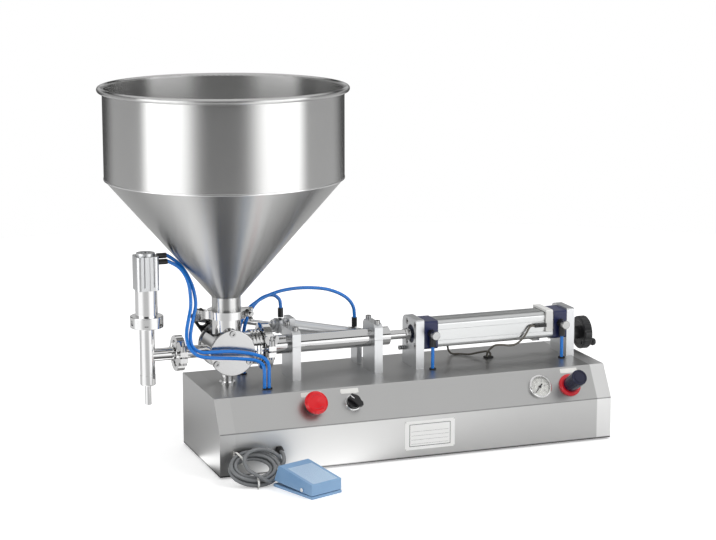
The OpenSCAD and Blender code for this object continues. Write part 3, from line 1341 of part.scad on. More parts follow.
module pedal_plate() {
  w = pedal_w / 2;
  color("steelblue") at_pedal() difference() {
    along_x([-w, 0, 0]) linear_extrude(pedal_w) pedal_side(5, 0, 5.5);
    along_x([-w + pedal_wall, 0, 0]) linear_extrude(pedal_w - 2 * pedal_wall)
      pedal_side(0, pedal_wall, 0);
    at_pedal_pin() cylinder(r = pedal_pin_r + running_gap, h = 90, center = true);
    translate([pedal_gland[0] - 6.5, pedal_back_y - 4, 0]) cube([13, 40, 24]);
  }
}
function coil_point(u) =
  let (mid = coil_turns / 2, inset = coil_step * (mid - abs(u - mid)), a = coil_start - 360 * u,
       climb = min(max((u - mid) * 2 + 0.5, 0), 1) - 0.5,
       x = (coil_half[0] - inset) * cos(a), y = (coil_half[1] - inset) * sin(a), z = coil_step * climb)
  coil_at + [x, y * cos(coil_lean) - z * sin(coil_lean), y * sin(coil_lean) + z * cos(coil_lean)];
coil_route = [for (k = [0:coil_turns * coil_rings]) coil_point(k / coil_rings)];
coil_n = len(coil_route);
coil_least_gap = min([for (i = [0:coil_n - 1], j = [0:coil_n - 1]) if (j - i > coil_rings / 2)
  norm(coil_route[i] - coil_route[j])]) - cord_d;
echo("Least gap of the coiled cord to itself, mm:", coil_least_gap);
module pedal_coil() { color("gray") sweep(coil_route, cord_d / 2, 6); }
coil_lead_in = coil_route[0] - 4 * unit(coil_route[1] - coil_route[0]);
function pedal_point(x, y, z) = [pedal_at[0] + x * cos(pedal_turn) - y * sin(pedal_turn),
  pedal_at[1] + x * sin(pedal_turn) + y * cos(pedal_turn), z];
// Loose cord: from the case's gland to the coil, and from the coil over its top to the pedal
module pedal_cord() {
  from_gland = concat(route_cord_out, [coil_lead_in, coil_route[0]]);
  to_pedal = concat([coil_route[coil_n - 1]], route_cord_loop, [
    pedal_point(pedal_gland[0], pedal_mouth + cord_d, pedal_gland[1]),
    pedal_point(pedal_gland[0], pedal_mouth, pedal_gland[1])
  ]);
  color("gray") {
    sweep(smooth(from_gland), cord_d / 2);
    sweep(smooth(to_pedal), cord_d / 2);
  }
}

case_shell();
base_plate();
rubber_feet();
inner_controls();
rear_ports();
hopper_wall();
hopper_cone();
hopper_neck();
hopper_gasket();
hopper_clamp();
line_clamps();
gaskets_grommets();
valve_body();
valve_covers();
valve_post();
valve_core();
valve_lever();
filling_tee();
union_nut();
head_spacer();
head_cylinder();
head_stem();
nozzle();
material_cylinder();
cylinder_supports();
fasteners();
material_piston();
piston_seals();
piston_rod();
air_piston();
air_barrel();
end_caps();
cylinder_brackets();
tube_fittings();
speed_knob_front();
speed_knob_rear();
sensor_carriage();
reed_sensor();
home_sensor();
sensor_leads();
lead_screw();
handwheel();
handwheel_knob();
estop_base();
estop_plunger();
estop_head();
selector_bezel();
selector_lever();
gauge_case();
gauge_needle();
gauge_glass();
regulator_body();
regulator_knob();
actuator_body();
actuator_rod();
air_tubes();
pedal_base();
pedal_plate();
pedal_cord();
pedal_coil();
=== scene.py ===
"""Looks of the horizontal pneumatic paste filling machine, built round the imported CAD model."""
import math

import bmesh
import bpy
from mathutils import Matrix, Vector


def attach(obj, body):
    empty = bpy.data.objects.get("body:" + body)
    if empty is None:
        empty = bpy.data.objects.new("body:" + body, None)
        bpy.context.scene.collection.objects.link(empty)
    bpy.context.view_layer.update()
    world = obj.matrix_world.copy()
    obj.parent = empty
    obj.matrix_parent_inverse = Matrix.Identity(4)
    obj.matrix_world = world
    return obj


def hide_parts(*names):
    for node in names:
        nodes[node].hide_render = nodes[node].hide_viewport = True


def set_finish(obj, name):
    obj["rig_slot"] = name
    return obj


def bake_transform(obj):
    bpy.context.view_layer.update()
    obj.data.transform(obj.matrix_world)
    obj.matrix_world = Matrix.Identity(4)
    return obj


MM = 0.001
# Places and sizes of the CAD part that the pieces here are set on, in mm. Angles are in radians,
# apart from DIAL_START, DIAL_SWEEP and COIL_START, in degrees.
FRONT_Y, BEND_Z = -129.25, 76
PANEL_A = math.atan2(32.5, 53)
GAUGE = (226, 30)
DIAL_START, DIAL_SWEEP, DIAL_STEPS = 225, 270, 50
HOPPER_X, HOPPER_R, SEAM_Z = -305, 200, 482.5
CORD_D, AIR_TUBE_D, LEAD_D = 6.4, 6, 3.6
COIL_AT, COIL_LEAN, COIL_HALF = (-310, -165.4, 25.1), math.radians(31), (43, 36.5)
COIL_TURNS, COIL_START, COIL_STEP = 4.15, -14, 7
PEDAL_AT, PEDAL_TURN, PEDAL_PIN = (-239.2, -227.7), math.radians(21), (-24.5, 11)
TREAD_ROWS, TREAD_COLUMNS, TREAD_PITCH = 17, 13, 3.9
SCREW_Y, SCREW_Z, SCREW_LEAD = 33, 156, 4

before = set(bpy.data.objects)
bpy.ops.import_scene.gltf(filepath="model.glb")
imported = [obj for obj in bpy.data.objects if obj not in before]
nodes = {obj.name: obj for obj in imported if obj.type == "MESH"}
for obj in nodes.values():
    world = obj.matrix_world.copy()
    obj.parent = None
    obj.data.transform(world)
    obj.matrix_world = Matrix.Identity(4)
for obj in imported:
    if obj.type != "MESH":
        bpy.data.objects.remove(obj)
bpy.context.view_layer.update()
scene = bpy.context.scene
scene.view_settings.view_transform = "Standard"
scene.view_settings.look = "None"

# Camera
YAW, PITCH = math.radians(20.123), math.radians(11.251)
level_part = math.cos(PITCH)
forward = Vector((math.sin(YAW) * level_part, math.cos(YAW) * level_part, -math.sin(PITCH)))
camera = bpy.data.objects.new("camera", bpy.data.cameras.new("camera"))
camera.data.sensor_width = 36
camera.data.lens = 102.93
camera.data.clip_end = 60
camera.location = Vector((-1256.9, -3243.5, 995.0)) * MM
camera.rotation_euler = forward.to_track_quat("-Z", "Y").to_euler()
scene.collection.objects.link(camera)
scene.camera = camera


# Shader sockets as expressions
class Sock:
    """A shader socket that takes part in arithmetic."""

    def __init__(self, tree, out):
        self.tree, self.out = tree, out

    def calc(self, operation, *others):
        node = self.tree.nodes.new("ShaderNodeMath")
        node.operation = operation
        for socket, value in zip(node.inputs, (self, *others)):
            put(self.tree, socket, value)
        return Sock(self.tree, node.outputs[0])

    def __add__(self, o):
        return self.calc("ADD", o)

    def __sub__(self, o):
        return self.calc("SUBTRACT", o)

    def __mul__(self, o):
        return self.calc("MULTIPLY", o)

    def __truediv__(self, o):
        return self.calc("DIVIDE", o)

    def abs(self):
        return self.calc("ABSOLUTE")

    def step(self, a, b):
        """0 below a, 1 above b, smooth between."""
        node = self.tree.nodes.new("ShaderNodeMapRange")
        node.interpolation_type = "SMOOTHSTEP"
        put(self.tree, node.inputs["Value"], self)
        node.inputs["From Min"].default_value = a
        node.inputs["From Max"].default_value = b
        return Sock(self.tree, node.outputs[0])

    def to(self, low, high):
        return self * (high - low) + low


def put(tree, socket, value):
    if isinstance(value, Sock):
        tree.links.new(value.out, socket)
    elif isinstance(value, (tuple, list)) and len(value) == 3 and socket.type == "RGBA":
        socket.default_value = (*value, 1)
    else:
        socket.default_value = value


class Shader:
    """A node material in the frame's own coordinates, in metres."""

    def __init__(self, name, **settings):
        self.mat = bpy.data.materials.new(name)
        self.mat.use_nodes = True
        self.tree = self.mat.node_tree
        self.bsdf = self.tree.nodes["Principled BSDF"]
        self.co = Sock(self.tree, self.tree.nodes.new("ShaderNodeTexCoord").outputs["Object"])
        parts = self.tree.nodes.new("ShaderNodeSeparateXYZ")
        put(self.tree, parts.inputs[0], self.co)
        self.x, self.y, self.z = (Sock(self.tree, o) for o in parts.outputs)
        self.height = None
        self.set(**settings)

    def set(self, **settings):
        for key, value in settings.items():
            put(self.tree, self.bsdf.inputs[key.replace("_", " ").title()], value)
        return self

    def noise(self, scale, stretch=(1, 1, 1), detail=3.0, roughness=0.55):
        mapping = self.tree.nodes.new("ShaderNodeMapping")
        mapping.inputs["Scale"].default_value = stretch
        put(self.tree, mapping.inputs["Vector"], self.co)
        node = self.tree.nodes.new("ShaderNodeTexNoise")
        node.inputs["Scale"].default_value = scale
        node.inputs["Detail"].default_value = detail
        node.inputs["Roughness"].default_value = roughness
        put(self.tree, node.inputs["Vector"], Sock(self.tree, mapping.outputs[0]))
        return Sock(self.tree, node.outputs["Fac"])

    def cells(self, scale):
        node = self.tree.nodes.new("ShaderNodeTexVoronoi")
        node.inputs["Scale"].default_value = scale
        put(self.tree, node.inputs["Vector"], self.co)
        return Sock(self.tree, node.outputs["Distance"])

    def mix(self, factor, a, b):
        node = self.tree.nodes.new("ShaderNodeMix")
        node.data_type = "RGBA"
        put(self.tree, node.inputs["Factor"], factor)
        for socket, value in zip([i for i in node.inputs if i.type == "RGBA"], (a, b)):
            put(self.tree, socket, value)
        return Sock(self.tree, [o for o in node.outputs if o.type == "RGBA"][0])

    def bump(self, height, depth, strength=1.0):
        """Raises the surface by height times depth in metres."""
        node = self.tree.nodes.new("ShaderNodeBump")
        node.inputs["Strength"].default_value = strength
        node.inputs["Distance"].default_value = depth
        put(self.tree, node.inputs["Height"], height)
        if self.height is not None:
            put(self.tree, node.inputs["Normal"], self.height)
        self.height = Sock(self.tree, node.outputs[0])
        put(self.tree, self.bsdf.inputs["Normal"], self.height)
        return self

    def radial(self, axis):
        node = self.tree.nodes.new("ShaderNodeTangent")
        node.direction_type = "RADIAL"
        node.axis = axis
        put(self.tree, self.bsdf.inputs["Tangent"], Sock(self.tree, node.outputs[0]))
        return self


def rgb(r, g, b):
    """Linear colour from display values of 0 to 255."""
    return tuple(((c / 255 + 0.055) / 1.055) ** 2.4 if c > 10 else c / 255 / 12.92
                 for c in (r, g, b))


def metal(name, colour, roughness, grain=(1, 1, 1), scale=900, depth=6e-6, spread=0.1, stain=0.06):
    """Metal with a directional grain and a faint uneven tone."""
    s = Shader(name, metallic=1.0)
    fine = s.noise(scale, grain, detail=4)
    broad = s.noise(9, detail=2)
    dark = tuple(c * (1 - 2 * stain) for c in colour)
    s.tone = s.mix((fine * 0.5 + broad * 0.5), dark, colour)
    s.set(base_color=s.tone)
    s.set(roughness=(fine * 0.6 + broad * 0.4).to(roughness - spread / 2, roughness + spread / 2))
    return s.bump(fine, depth)


def plastic(name, colour, roughness, grain_scale=1400, depth=1.2e-5, spread=0.12):
    """Moulded plastic or rubber with a fine texture."""
    s = Shader(name)
    fine, broad = s.noise(grain_scale, detail=2), s.noise(30, detail=3)
    light = tuple(min(1, c * 1.18 + 0.004) for c in colour)
    s.set(base_color=s.mix(broad, colour, light))
    s.set(roughness=(fine * 0.5 + broad * 0.5).to(roughness - spread / 2, roughness + spread / 2))
    return s.bump(fine, depth)


def dress(material, *names):
    """Gives CAD nodes that material."""
    for name in names:
        mesh = nodes[name].data
        mesh.materials.clear()
        mesh.materials.append(material.mat)


# Piece makers
def link(name, mesh_or_curve, material, body, slot):
    piece = bpy.data.objects.new(name, mesh_or_curve)
    scene.collection.objects.link(piece)
    piece.data.materials.append(material.mat)
    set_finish(piece, slot)
    if body:
        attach(piece, body)
    return piece


def from_bmesh(name, bm, material, body, slot, angle=35):
    mesh = bpy.data.meshes.new(name)
    bmesh.ops.recalc_face_normals(bm, faces=bm.faces)
    limit = math.radians(angle)
    for face in bm.faces:
        face.smooth = True
    for edge in bm.edges:
        edge.smooth = edge.calc_face_angle(math.pi) < limit
    bm.to_mesh(mesh)
    bm.free()
    return link(name, mesh, material, body, slot)


def lathe(bm, profile, place, segments=64):
    """Turns a profile of (radius, height) points in mm round place's Z."""
    verts = [bm.verts.new(place @ Vector((r * MM, 0, h * MM))) for r, h in profile]
    edges = [bm.edges.new(pair) for pair in zip(verts, verts[1:])]
    centre = place @ Vector((0, 0, 0))
    axis = place.to_3x3() @ Vector((0, 0, 1))
    bmesh.ops.spin(bm, geom=verts + edges, cent=centre, axis=axis, angle=2 * math.pi,
                   steps=segments)
    bmesh.ops.remove_doubles(bm, verts=bm.verts, dist=1e-6)


def plate(bm, outline, thickness, place):
    """Extrudes an outline of (x, y) points in mm, on place's XY plane."""
    base = [bm.verts.new(place @ Vector((x * MM, y * MM, 0))) for x, y in outline]
    top = [bm.verts.new(place @ Vector((x * MM, y * MM, thickness * MM))) for x, y in outline]
    bm.faces.new(list(reversed(base)))
    bm.faces.new(top)
    for i in range(len(base)):
        j = (i + 1) % len(base)
        bm.faces.new((base[i], base[j], top[j], top[i]))


def round_rect(w, h, r, n=6):
    points = []
    for cx, cy, start in ((1, 1, 0), (-1, 1, 90), (-1, -1, 180), (1, -1, 270)):
        for k in range(n + 1):
            a = math.radians(start + 90 * k / n)
            points.append((cx * (w / 2 - r) + r * math.cos(a), cy * (h / 2 - r) + r * math.sin(a)))
    return points


def frame_at(origin, x_axis, z_axis):
    x, z = Vector(x_axis).normalized(), Vector(z_axis).normalized()
    y = z.cross(x)
    m = Matrix((x, y, z)).transposed().to_4x4()
    m.translation = Vector(origin) * MM
    return m


def panel(x, up, out=0.0):
    """Place on the control panel, with local Z along its outward normal."""
    normal = Vector((0, -math.cos(PANEL_A), math.sin(PANEL_A)))
    foot = Vector((x, FRONT_Y + up * math.sin(PANEL_A), BEND_Z + up * math.cos(PANEL_A)))
    return frame_at(foot + normal * out, (1, 0, 0), normal)


def smooth_path(points, per_step):
    """Catmull-Rom line through the points, in mm, as in the CAD source."""
    p = [Vector(q) for q in points]
    m = len(p) - 1
    out = []
    for i in range(m):
        a, b, c, d = p[max(i - 1, 0)], p[i], p[i + 1], p[min(i + 2, m)]
        for k in range(per_step):
            t = k / per_step
            out.append((2 * b + (c - a) * t + (2 * a - 5 * b + 4 * c - d) * t * t
                        + (3 * b - a - 3 * c + d) * t ** 3) / 2)
    out.append(p[m])
    return out


def tube(name, points, diameter, material, body, slot, sides=4):
    """Round tube along points in mm, as one open spline."""
    curve = bpy.data.curves.new(name, "CURVE")
    curve.dimensions = "3D"
    curve.bevel_depth = diameter / 2 * MM
    curve.bevel_resolution = sides
    curve.use_fill_caps = True
    spline = curve.splines.new("POLY")
    spline.points.add(len(points) - 1)
    for target, point in zip(spline.points, points):
        target.co = (*(Vector(point) * MM), 1)
    spline.use_smooth = True
    return link(name, curve, material, body, slot)


def to_mesh(piece):
    """Replaces a curve piece that isn't placed yet by its mesh."""
    evaluated = piece.evaluated_get(bpy.context.evaluated_depsgraph_get())
    mesh = bpy.data.meshes.new_from_object(evaluated)
    new = bpy.data.objects.new(piece.name + "_m", mesh)
    scene.collection.objects.link(new)
    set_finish(new, piece["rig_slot"])
    bpy.data.objects.remove(piece)
    return new


def lettering(name, words, size, place, material, body, slot):
    """Flat generic figures, such as numbers on a dial."""
    curve = bpy.data.curves.new(name, "FONT")
    curve.body = words
    curve.size = size * MM
    curve.align_x, curve.align_y = "CENTER", "CENTER"
    curve.extrude = 0.03 * MM
    piece = bpy.data.objects.new(name, curve)
    piece.matrix_world = place
    scene.collection.objects.link(piece)
    piece.data.materials.append(material.mat)
    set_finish(piece, slot)
    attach(piece, body)
    return piece


# Cord and its ties, before the rest
def coil_point(u):
    """Point of the coil after u turns."""
    mid = COIL_TURNS / 2
    inset = COIL_STEP * (mid - abs(u - mid))
    a = math.radians(COIL_START - 360 * u)
    climb = min(max((u - mid) * 2 + 0.5, 0), 1) - 0.5
    x, y = (COIL_HALF[0] - inset) * math.cos(a), (COIL_HALF[1] - inset) * math.sin(a)
    z = COIL_STEP * climb
    c, s = math.cos(COIL_LEAN), math.sin(COIL_LEAN)
    return Vector(COIL_AT) + Vector((x, y * c - z * s, y * s + z * c))


def pedal_point(x, y, z):
    """Point in the pedal's own axes."""
    c, s = math.cos(PEDAL_TURN), math.sin(PEDAL_TURN)
    return Vector((PEDAL_AT[0] + x * c - y * s, PEDAL_AT[1] + x * s + y * c, z))


def pedal_way(x, y, z):
    """Direction in the pedal's own axes."""
    return pedal_point(x, y, z) - pedal_point(0, 0, 0)


coil = [coil_point(k / 24) for k in range(100)]
lead_in = coil[0] - 4 * (coil[1] - coil[0]).normalized()
from_gland = [
    (-255, -139.5, 40.6), (-255, -145, 40.6), (-255, -153.5, 37.5), (-256.5, -160.5, 31.5),
    (-261, -165.5, 24.5), lead_in, coil[0]]
to_pedal = [
    coil[-1], (-293.5, -198.3, 10.6), (-301, -200, 13.4), (-309.5, -198.3, 19.4),
    (-318, -192.6, 24.6), (-325, -183, 29.5), (-327, -171, 36.5), (-323, -159.5, 43.5),
    (-314, -151.5, 48), (-302.5, -148, 50.5), (-290, -148.5, 50.5), (-278.5, -152, 48),
    (-267.5, -154, 41), (-259.5, -152, 28.5), (-253.5, -154, 16.5), pedal_point(12, 64.4, 9),
    pedal_point(12, 58, 9)]
cord_line = smooth_path(from_gland, 4)[:-1] + coil + smooth_path(to_pedal, 4)[1:]
cord_length = sum((b - a).length for a, b in zip(cord_line, cord_line[1:])) * MM
cord_grey = plastic("cord_grey", rgb(120, 122, 124), 0.26, grain_scale=700, spread=0.1)
cord = tube("pedal_cord_line", cord_line, CORD_D, cord_grey, "machine", "grey_cord")
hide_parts("pedal_cord", "pedal_coil")
tie_white = plastic("tie_white", rgb(226, 226, 222), 0.45)


def tie(name, at, along, out, w, h):
    """A white twist tie round the cord bundle at a point: a flat loop and a twisted tail."""
    bm = bmesh.new()
    place = frame_at(at, out, along)
    outer = round_rect(w, h, min(w, h) / 2 - 0.2, 5)
    inner = round_rect(w - 1.4, h - 1.4, min(w, h) / 2 - 0.9, 5)
    rings = []
    for outline, z in ((outer, -1.6), (outer, 1.6), (inner, 1.6), (inner, -1.6)):
        rings.append([bm.verts.new(place @ (Vector((x, y, z)) * MM)) for x, y in outline])
    n = len(outer)
    for a, b in zip(rings, rings[1:] + rings[:1]):
        for i in range(n):
            bm.faces.new((a[i], a[(i + 1) % n], b[(i + 1) % n], b[i]))
    previous = None
    for k in range(13):
        t = k / 12
        turn = Matrix.Rotation(math.radians(150 * k), 3, "X")
        centre = Vector((w / 2 + 0.2 + 4.5 * t, 1.5 * math.sin(3 * t), 2.2 * t))
        row = [bm.verts.new(place @ ((centre + turn @ Vector((0, y, z))) * MM))
               for y, z in ((-1.2, -0.45), (1.2, -0.45), (1.2, 0.45), (-1.2, 0.45))]
        if previous:
            for i in range(4):
                bm.faces.new((previous[i], previous[(i + 1) % 4], row[(i + 1) % 4], row[i]))
        else:
            bm.faces.new(row)
        previous = row
    bm.faces.new(list(reversed(previous)))
    from_bmesh(name, bm, tie_white, "machine", "white_plastic", 50)


def tie_round_coil(name, u, w, h):
    """Places a tie round the turns at u, u + 1 and so on."""
    near = [coil_point(v) for v in (u, u + 1, u + 2, u + 3) if v <= 4.12]
    middle = sum(near, Vector()) / len(near)
    along = coil_point(u + 1.02) - coil_point(u + 0.98)
    out = middle - Vector(COIL_AT)
    out -= along * out.dot(along) / along.length_squared
    tie(name, middle, along, out, w, h)


tie_round_coil("coil_tie_left", 0.62, 25, 15.4)
tie_round_coil("coil_tie_front", 0.22, 25, 15.4)

# Materials
case_steel = metal("case_steel", (0.6, 0.6, 0.595), 0.36, grain=(1, 45, 45), scale=55, depth=5e-6)
# The case is painted lighter in strips at both ends, fully at the +X end and faintly at the -X
# end: painted highlights.
PAINTED_HIGHLIGHT_EDGE, FOLD_Z = (0.3292, 0.3308), 0.0752
painted_end_highlights = case_steel.x.step(*PAINTED_HIGHLIGHT_EDGE) + (case_steel.x * -1).step(*PAINTED_HIGHLIGHT_EDGE) * 0.12
# A thin dark line along the bend between the sloping panel and the front, on the front only:
# painted shade at the fold.
fold_painted_shade = ((case_steel.z - FOLD_Z).abs() * -1).step(-0.0014, -0.0006)
fold_painted_shade = fold_painted_shade * (case_steel.y * -1).step(0.1, 0.11)
fold_painted_shade = fold_painted_shade * (case_steel.x.abs() * -1).step(-0.3568, -0.3562)
# The case is darkened within about 6 mm of its bottom edge: painted shadow under the case, joined
# with the fold's painted shade.
painted_shade_lines = (case_steel.z * -1).step(-0.0062, -0.0044).calc("MAXIMUM", fold_painted_shade * 0.7)
tone_with_painted_highlights = case_steel.mix(painted_end_highlights, case_steel.tone, (0.86, 0.86, 0.855))
case_steel.set(base_color=case_steel.mix(painted_shade_lines, tone_with_painted_highlights, (0.1, 0.1, 0.1)))


def spun_steel(name, colour):
    """Steel brushed round the hopper's axis."""
    s = metal(name, colour, 0.26, grain=(1, 1, 30), scale=60, depth=3e-6, spread=0.06)
    return s.set(anisotropic=1.0, anisotropic_rotation=0.25).radial("Z")


hopper_steel = spun_steel("hopper_steel", (0.63, 0.63, 0.625))
# The cone uses the hopper's steel in a darker colour: painted shade on the cone.
cone_steel = spun_steel("cone_steel", (0.48, 0.48, 0.476))
polished = metal("polished_steel", (0.82, 0.82, 0.82), 0.07, grain=(1, 1, 1), scale=300,
                 depth=2e-6, spread=0.05)
tube_steel = metal("tube_steel", (0.62, 0.62, 0.62), 0.1, grain=(1, 12, 12), scale=120, depth=3e-6,
                   spread=0.06)
turned = metal("turned_steel", (0.62, 0.62, 0.62), 0.2, grain=(1, 20, 1), scale=260, depth=5e-6,
               spread=0.08)
satin_aluminium = metal("satin_aluminium", (0.72, 0.73, 0.74), 0.34, scale=1500, depth=8e-6,
                        spread=0.1, stain=0.03)
barrel_white = metal("barrel_aluminium", (0.66, 0.67, 0.67), 0.3, grain=(1, 30, 30), scale=60,
                     depth=5e-6, stain=0.02)
zinc = metal("screw_steel", (0.5, 0.5, 0.5), 0.22, scale=700, depth=1e-5)
black_plastic = plastic("black_plastic", rgb(26, 26, 28), 0.34)
black_rubber = plastic("black_rubber", rgb(24, 24, 25), 0.6)
white_plastic = plastic("white_plastic", rgb(222, 222, 220), 0.38)
red_plastic = plastic("red_plastic", rgb(214, 12, 26), 0.26, depth=6e-6)
ring_red = plastic("ring_red", rgb(196, 16, 34), 0.3, depth=6e-6)
navy_plastic = plastic("navy_plastic", rgb(17, 19, 48), 0.22, depth=6e-6)
controls = plastic("control_parts", rgb(66, 70, 74), 0.45)
blue_tube = plastic("blue_tube", rgb(20, 118, 208), 0.22, grain_scale=200, depth=4e-6)
blue_tube.set(coat_weight=0.25, coat_roughness=0.15)
lead_grey = plastic("lead_grey", rgb(96, 92, 84), 0.45)

navy_cap = Shader("navy_cap", roughness=0.36, coat_weight=0.15)
grain = navy_cap.noise(1800, detail=2)
navy_cap.set(base_color=navy_cap.mix(navy_cap.noise(40), rgb(18, 26, 66), rgb(30, 40, 88)))
navy_cap.bump(grain, 1.5e-5)

glass = Shader("gauge_glass", base_color=(1, 1, 1), transmission_weight=1.0, alpha=0.25)
glass.set(roughness=glass.noise(60).to(0.0, 0.06))

pedal_blue = Shader("pedal_blue", coat_weight=0.25, coat_roughness=0.25)
hammer = pedal_blue.cells(420)
pedal_tone = pedal_blue.noise(14, detail=4)
pedal_blue.set(base_color=pedal_blue.mix(pedal_tone, rgb(116, 158, 203), rgb(150, 188, 223)),
               roughness=pedal_tone.to(0.3, 0.46)).bump(hammer, 6e-5, 0.35)

pedal_pads = plastic("pedal_pads", rgb(212, 228, 243), 0.3)

dress(case_steel, "case_shell", "base_plate")
dress(hopper_steel, "hopper_wall", "hopper_neck")
dress(cone_steel, "hopper_cone")
dress(polished, "hopper_clamp", "line_clamps", "valve_body", "valve_post", "filling_tee",
      "union_nut", "head_spacer", "nozzle", "selector_bezel", "gauge_case")
dress(turned, "valve_covers", "valve_core")
dress(tube_steel, "material_cylinder", "piston_rod", "head_stem", "actuator_rod")
dress(satin_aluminium, "head_cylinder", "cylinder_supports", "cylinder_brackets", "actuator_body")
dress(barrel_white, "air_barrel")
dress(zinc, "fasteners", "speed_knob_front", "speed_knob_rear")
dress(navy_cap, "end_caps")
dress(black_rubber, "rubber_feet", "hopper_gasket", "gaskets_grommets", "piston_seals")
dress(black_plastic, "rear_ports", "air_piston", "tube_fittings", "reed_sensor", "home_sensor",
      "handwheel", "handwheel_knob", "estop_base", "selector_lever", "gauge_needle", "valve_lever")
dress(white_plastic, "sensor_carriage", "material_piston")
dress(red_plastic, "estop_plunger", "estop_head")
dress(ring_red, "regulator_body")
dress(navy_plastic, "regulator_knob")
dress(controls, "inner_controls")
dress(glass, "gauge_glass")
dress(pedal_blue, "pedal_base", "pedal_plate")

# Thread of the lead screw, as a helical relief
thread = metal("lead_screw_steel", (0.55, 0.55, 0.55), 0.25, scale=700, depth=5e-6)
turn_angle = (thread.z - SCREW_Z * MM).calc("ARCTAN2", thread.y - SCREW_Y * MM)
wave = (thread.x * (2 * math.pi / (SCREW_LEAD * MM)) - turn_angle).calc("SINE")
thread.bump(wave, 7e-4)
dress(thread, "lead_screw")

# Air tubes and leads, smooth along their CAD routes
ROUTES = {
    "air_tube_head_upper": [
        (-414, 0, 356), (-407, 0, 356), (-390, -1, 344), (-380, -6, 332), (-372, -11, 316),
        (-366, -16, 297), (-364, -21, 274), (-369, -26, 256), (-375, -33, 239), (-379, -39, 222),
        (-376, -43, 206), (-362, -46, 197), (-338, -48, 196), (-312, -49, 195), (-286, -51, 191),
        (-267, -55, 186), (-256, -60, 180), (-251, -64, 170), (-251, -65, 156), (-251, -65, 142),
        (-251, -65, 131)],
    "air_tube_head_lower": [
        (-414, -7, 347), (-407, -7, 347), (-391, -8, 338), (-381, -12, 326), (-375, -17, 310),
        (-373, -21, 290), (-374, -25, 270), (-379, -30, 252), (-384, -36, 236), (-386, -42, 220),
        (-382, -47, 205), (-368, -50, 192), (-346, -50, 187), (-318, -50, 184), (-290, -53, 181),
        (-271, -57, 178), (-261, -61, 171), (-259, -65, 160), (-259, -65, 145), (-259, -65, 131)],
    "air_tube_drive_front": [
        (-261, 47, 131), (-261, 47, 146), (-262, 46, 170), (-262, 45.5, 195), (-258, 46, 218),
        (-248, 49, 238), (-235, 55, 252), (-219, 60, 260), (-202, 63.5, 261), (-191, 64, 253),
        (-188.5, 64, 243), (-188.5, 64, 232)],
    "air_tube_drive_rear": [
        (-270, 47, 131), (-270, 47, 146), (-270, 46, 170), (-270, 45.5, 196), (-266, 46, 220),
        (-255, 48, 240), (-238, 50, 253), (-217, 54, 262), (-190, 56, 269), (-160, 59, 271),
        (-130, 62, 269), (-103, 64, 264), (-80, 64, 255), (-63, 64, 243), (-54, 64, 229),
        (-52, 64, 216), (-52, 64, 205)],
    "air_tube_front_cap": [
        (58, -33, 131), (58, -33, 145), (58, -33, 160), (58, -33, 173.2)],
    "air_tube_rear_cap": [
        (306, -33, 131), (306, -33, 145), (306, -33, 160), (306, -33, 173.2)],
}
for name, route in ROUTES.items():
    piece = tube(name, smooth_path(route, 5), AIR_TUBE_D, blue_tube, "machine", "blue_tube", 5)
    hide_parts("air_tubes")
LEAD_REED = [
    (254.7, -27.5, 190), (248, -27.5, 190), (243, -28.5, 186), (236, -29, 175),
    (224, -29, 163), (210, -28, 158), (194, -26, 160), (182, -21, 159), (178, -10, 151),
    (179, 3, 143), (181, 12, 136), (181, 12, 131)]
LEAD_HOME = [
    (97.3, 26.5, 175), (103, 26.5, 175), (109, 34, 170), (115, 42, 162), (119, 47, 149),
    (123, 50, 138), (131, 52, 131.5), (144, 47, 131.2), (158, 36, 132), (172, 24, 137),
    (183, 16.5, 139.5), (188, 14, 136), (188, 14, 131)]
reed = tube("sensor_lead_reed", smooth_path(LEAD_REED, 6), LEAD_D, lead_grey, None, "grey_cord")
reed = to_mesh(reed)
reed.name = "sensor_lead_reed"
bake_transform(reed)
home = tube("sensor_lead_home", smooth_path(LEAD_HOME, 6), LEAD_D, lead_grey, "machine",
            "grey_cord")
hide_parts("sensor_leads")
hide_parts("sensor_leads")

# Dial, plates and marks
dial_white = plastic("dial_white", rgb(214, 214, 210), 0.5, spread=0.05)
dial_black = plastic("dial_black", rgb(20, 20, 22), 0.45)
plate_white = plastic("plate_white", rgb(240, 240, 237), 0.4, spread=0.06)
mark_white = plastic("mark_white", rgb(235, 235, 235), 0.4)

bm = bmesh.new()
lathe(bm, [(0, 0.55), (17.6, 0.55), (17.6, 0.9), (1.75, 0.9), (1.75, 0.55)], panel(*GAUGE), 72)
from_bmesh("gauge_dial", bm, dial_white, "machine", "white_plastic")
bm = bmesh.new()
for k in range(DIAL_STEPS + 1):
    a = math.radians(DIAL_START - DIAL_SWEEP * k / DIAL_STEPS)
    long = k % 10 == 0
    r0, r1, w = (12.4, 16.6, 0.42) if long else (14.6 if k % 5 == 0 else 15.4, 16.6, 0.2)
    c, s = math.cos(a), math.sin(a)
    quad = [(r0, -w / 2), (r1, -w / 2), (r1, w / 2), (r0, w / 2)]
    plate(bm, [(r * c - t * s, r * s + t * c) for r, t in quad], 0.06, panel(*GAUGE, 0.9))
from_bmesh("gauge_marks", bm, dial_black, "machine", "black_plastic")
for k, word in enumerate(("0", "2", "4", "6", "8", "10")):
    a = math.radians(DIAL_START - DIAL_SWEEP * k / 5)
    spot = Vector((9.9 * math.cos(a), 9.9 * math.sin(a), 0)) * MM
    place = panel(*GAUGE, 0.93) @ Matrix.Translation(spot)
    lettering(f"gauge_number_{word}", word, 3.7, place, dial_black, "machine", "black_plastic")

# Bare name plate on the case's front, with a thin frame, four ruled lines and four rivets
front = frame_at((14.5, FRONT_Y, 42), (1, 0, 0), (0, -1, 0))
bm = bmesh.new()
plate(bm, round_rect(91, 50, 1.2), 0.5, front)
from_bmesh("name_plate", bm, plate_white, "machine", "case_steel")


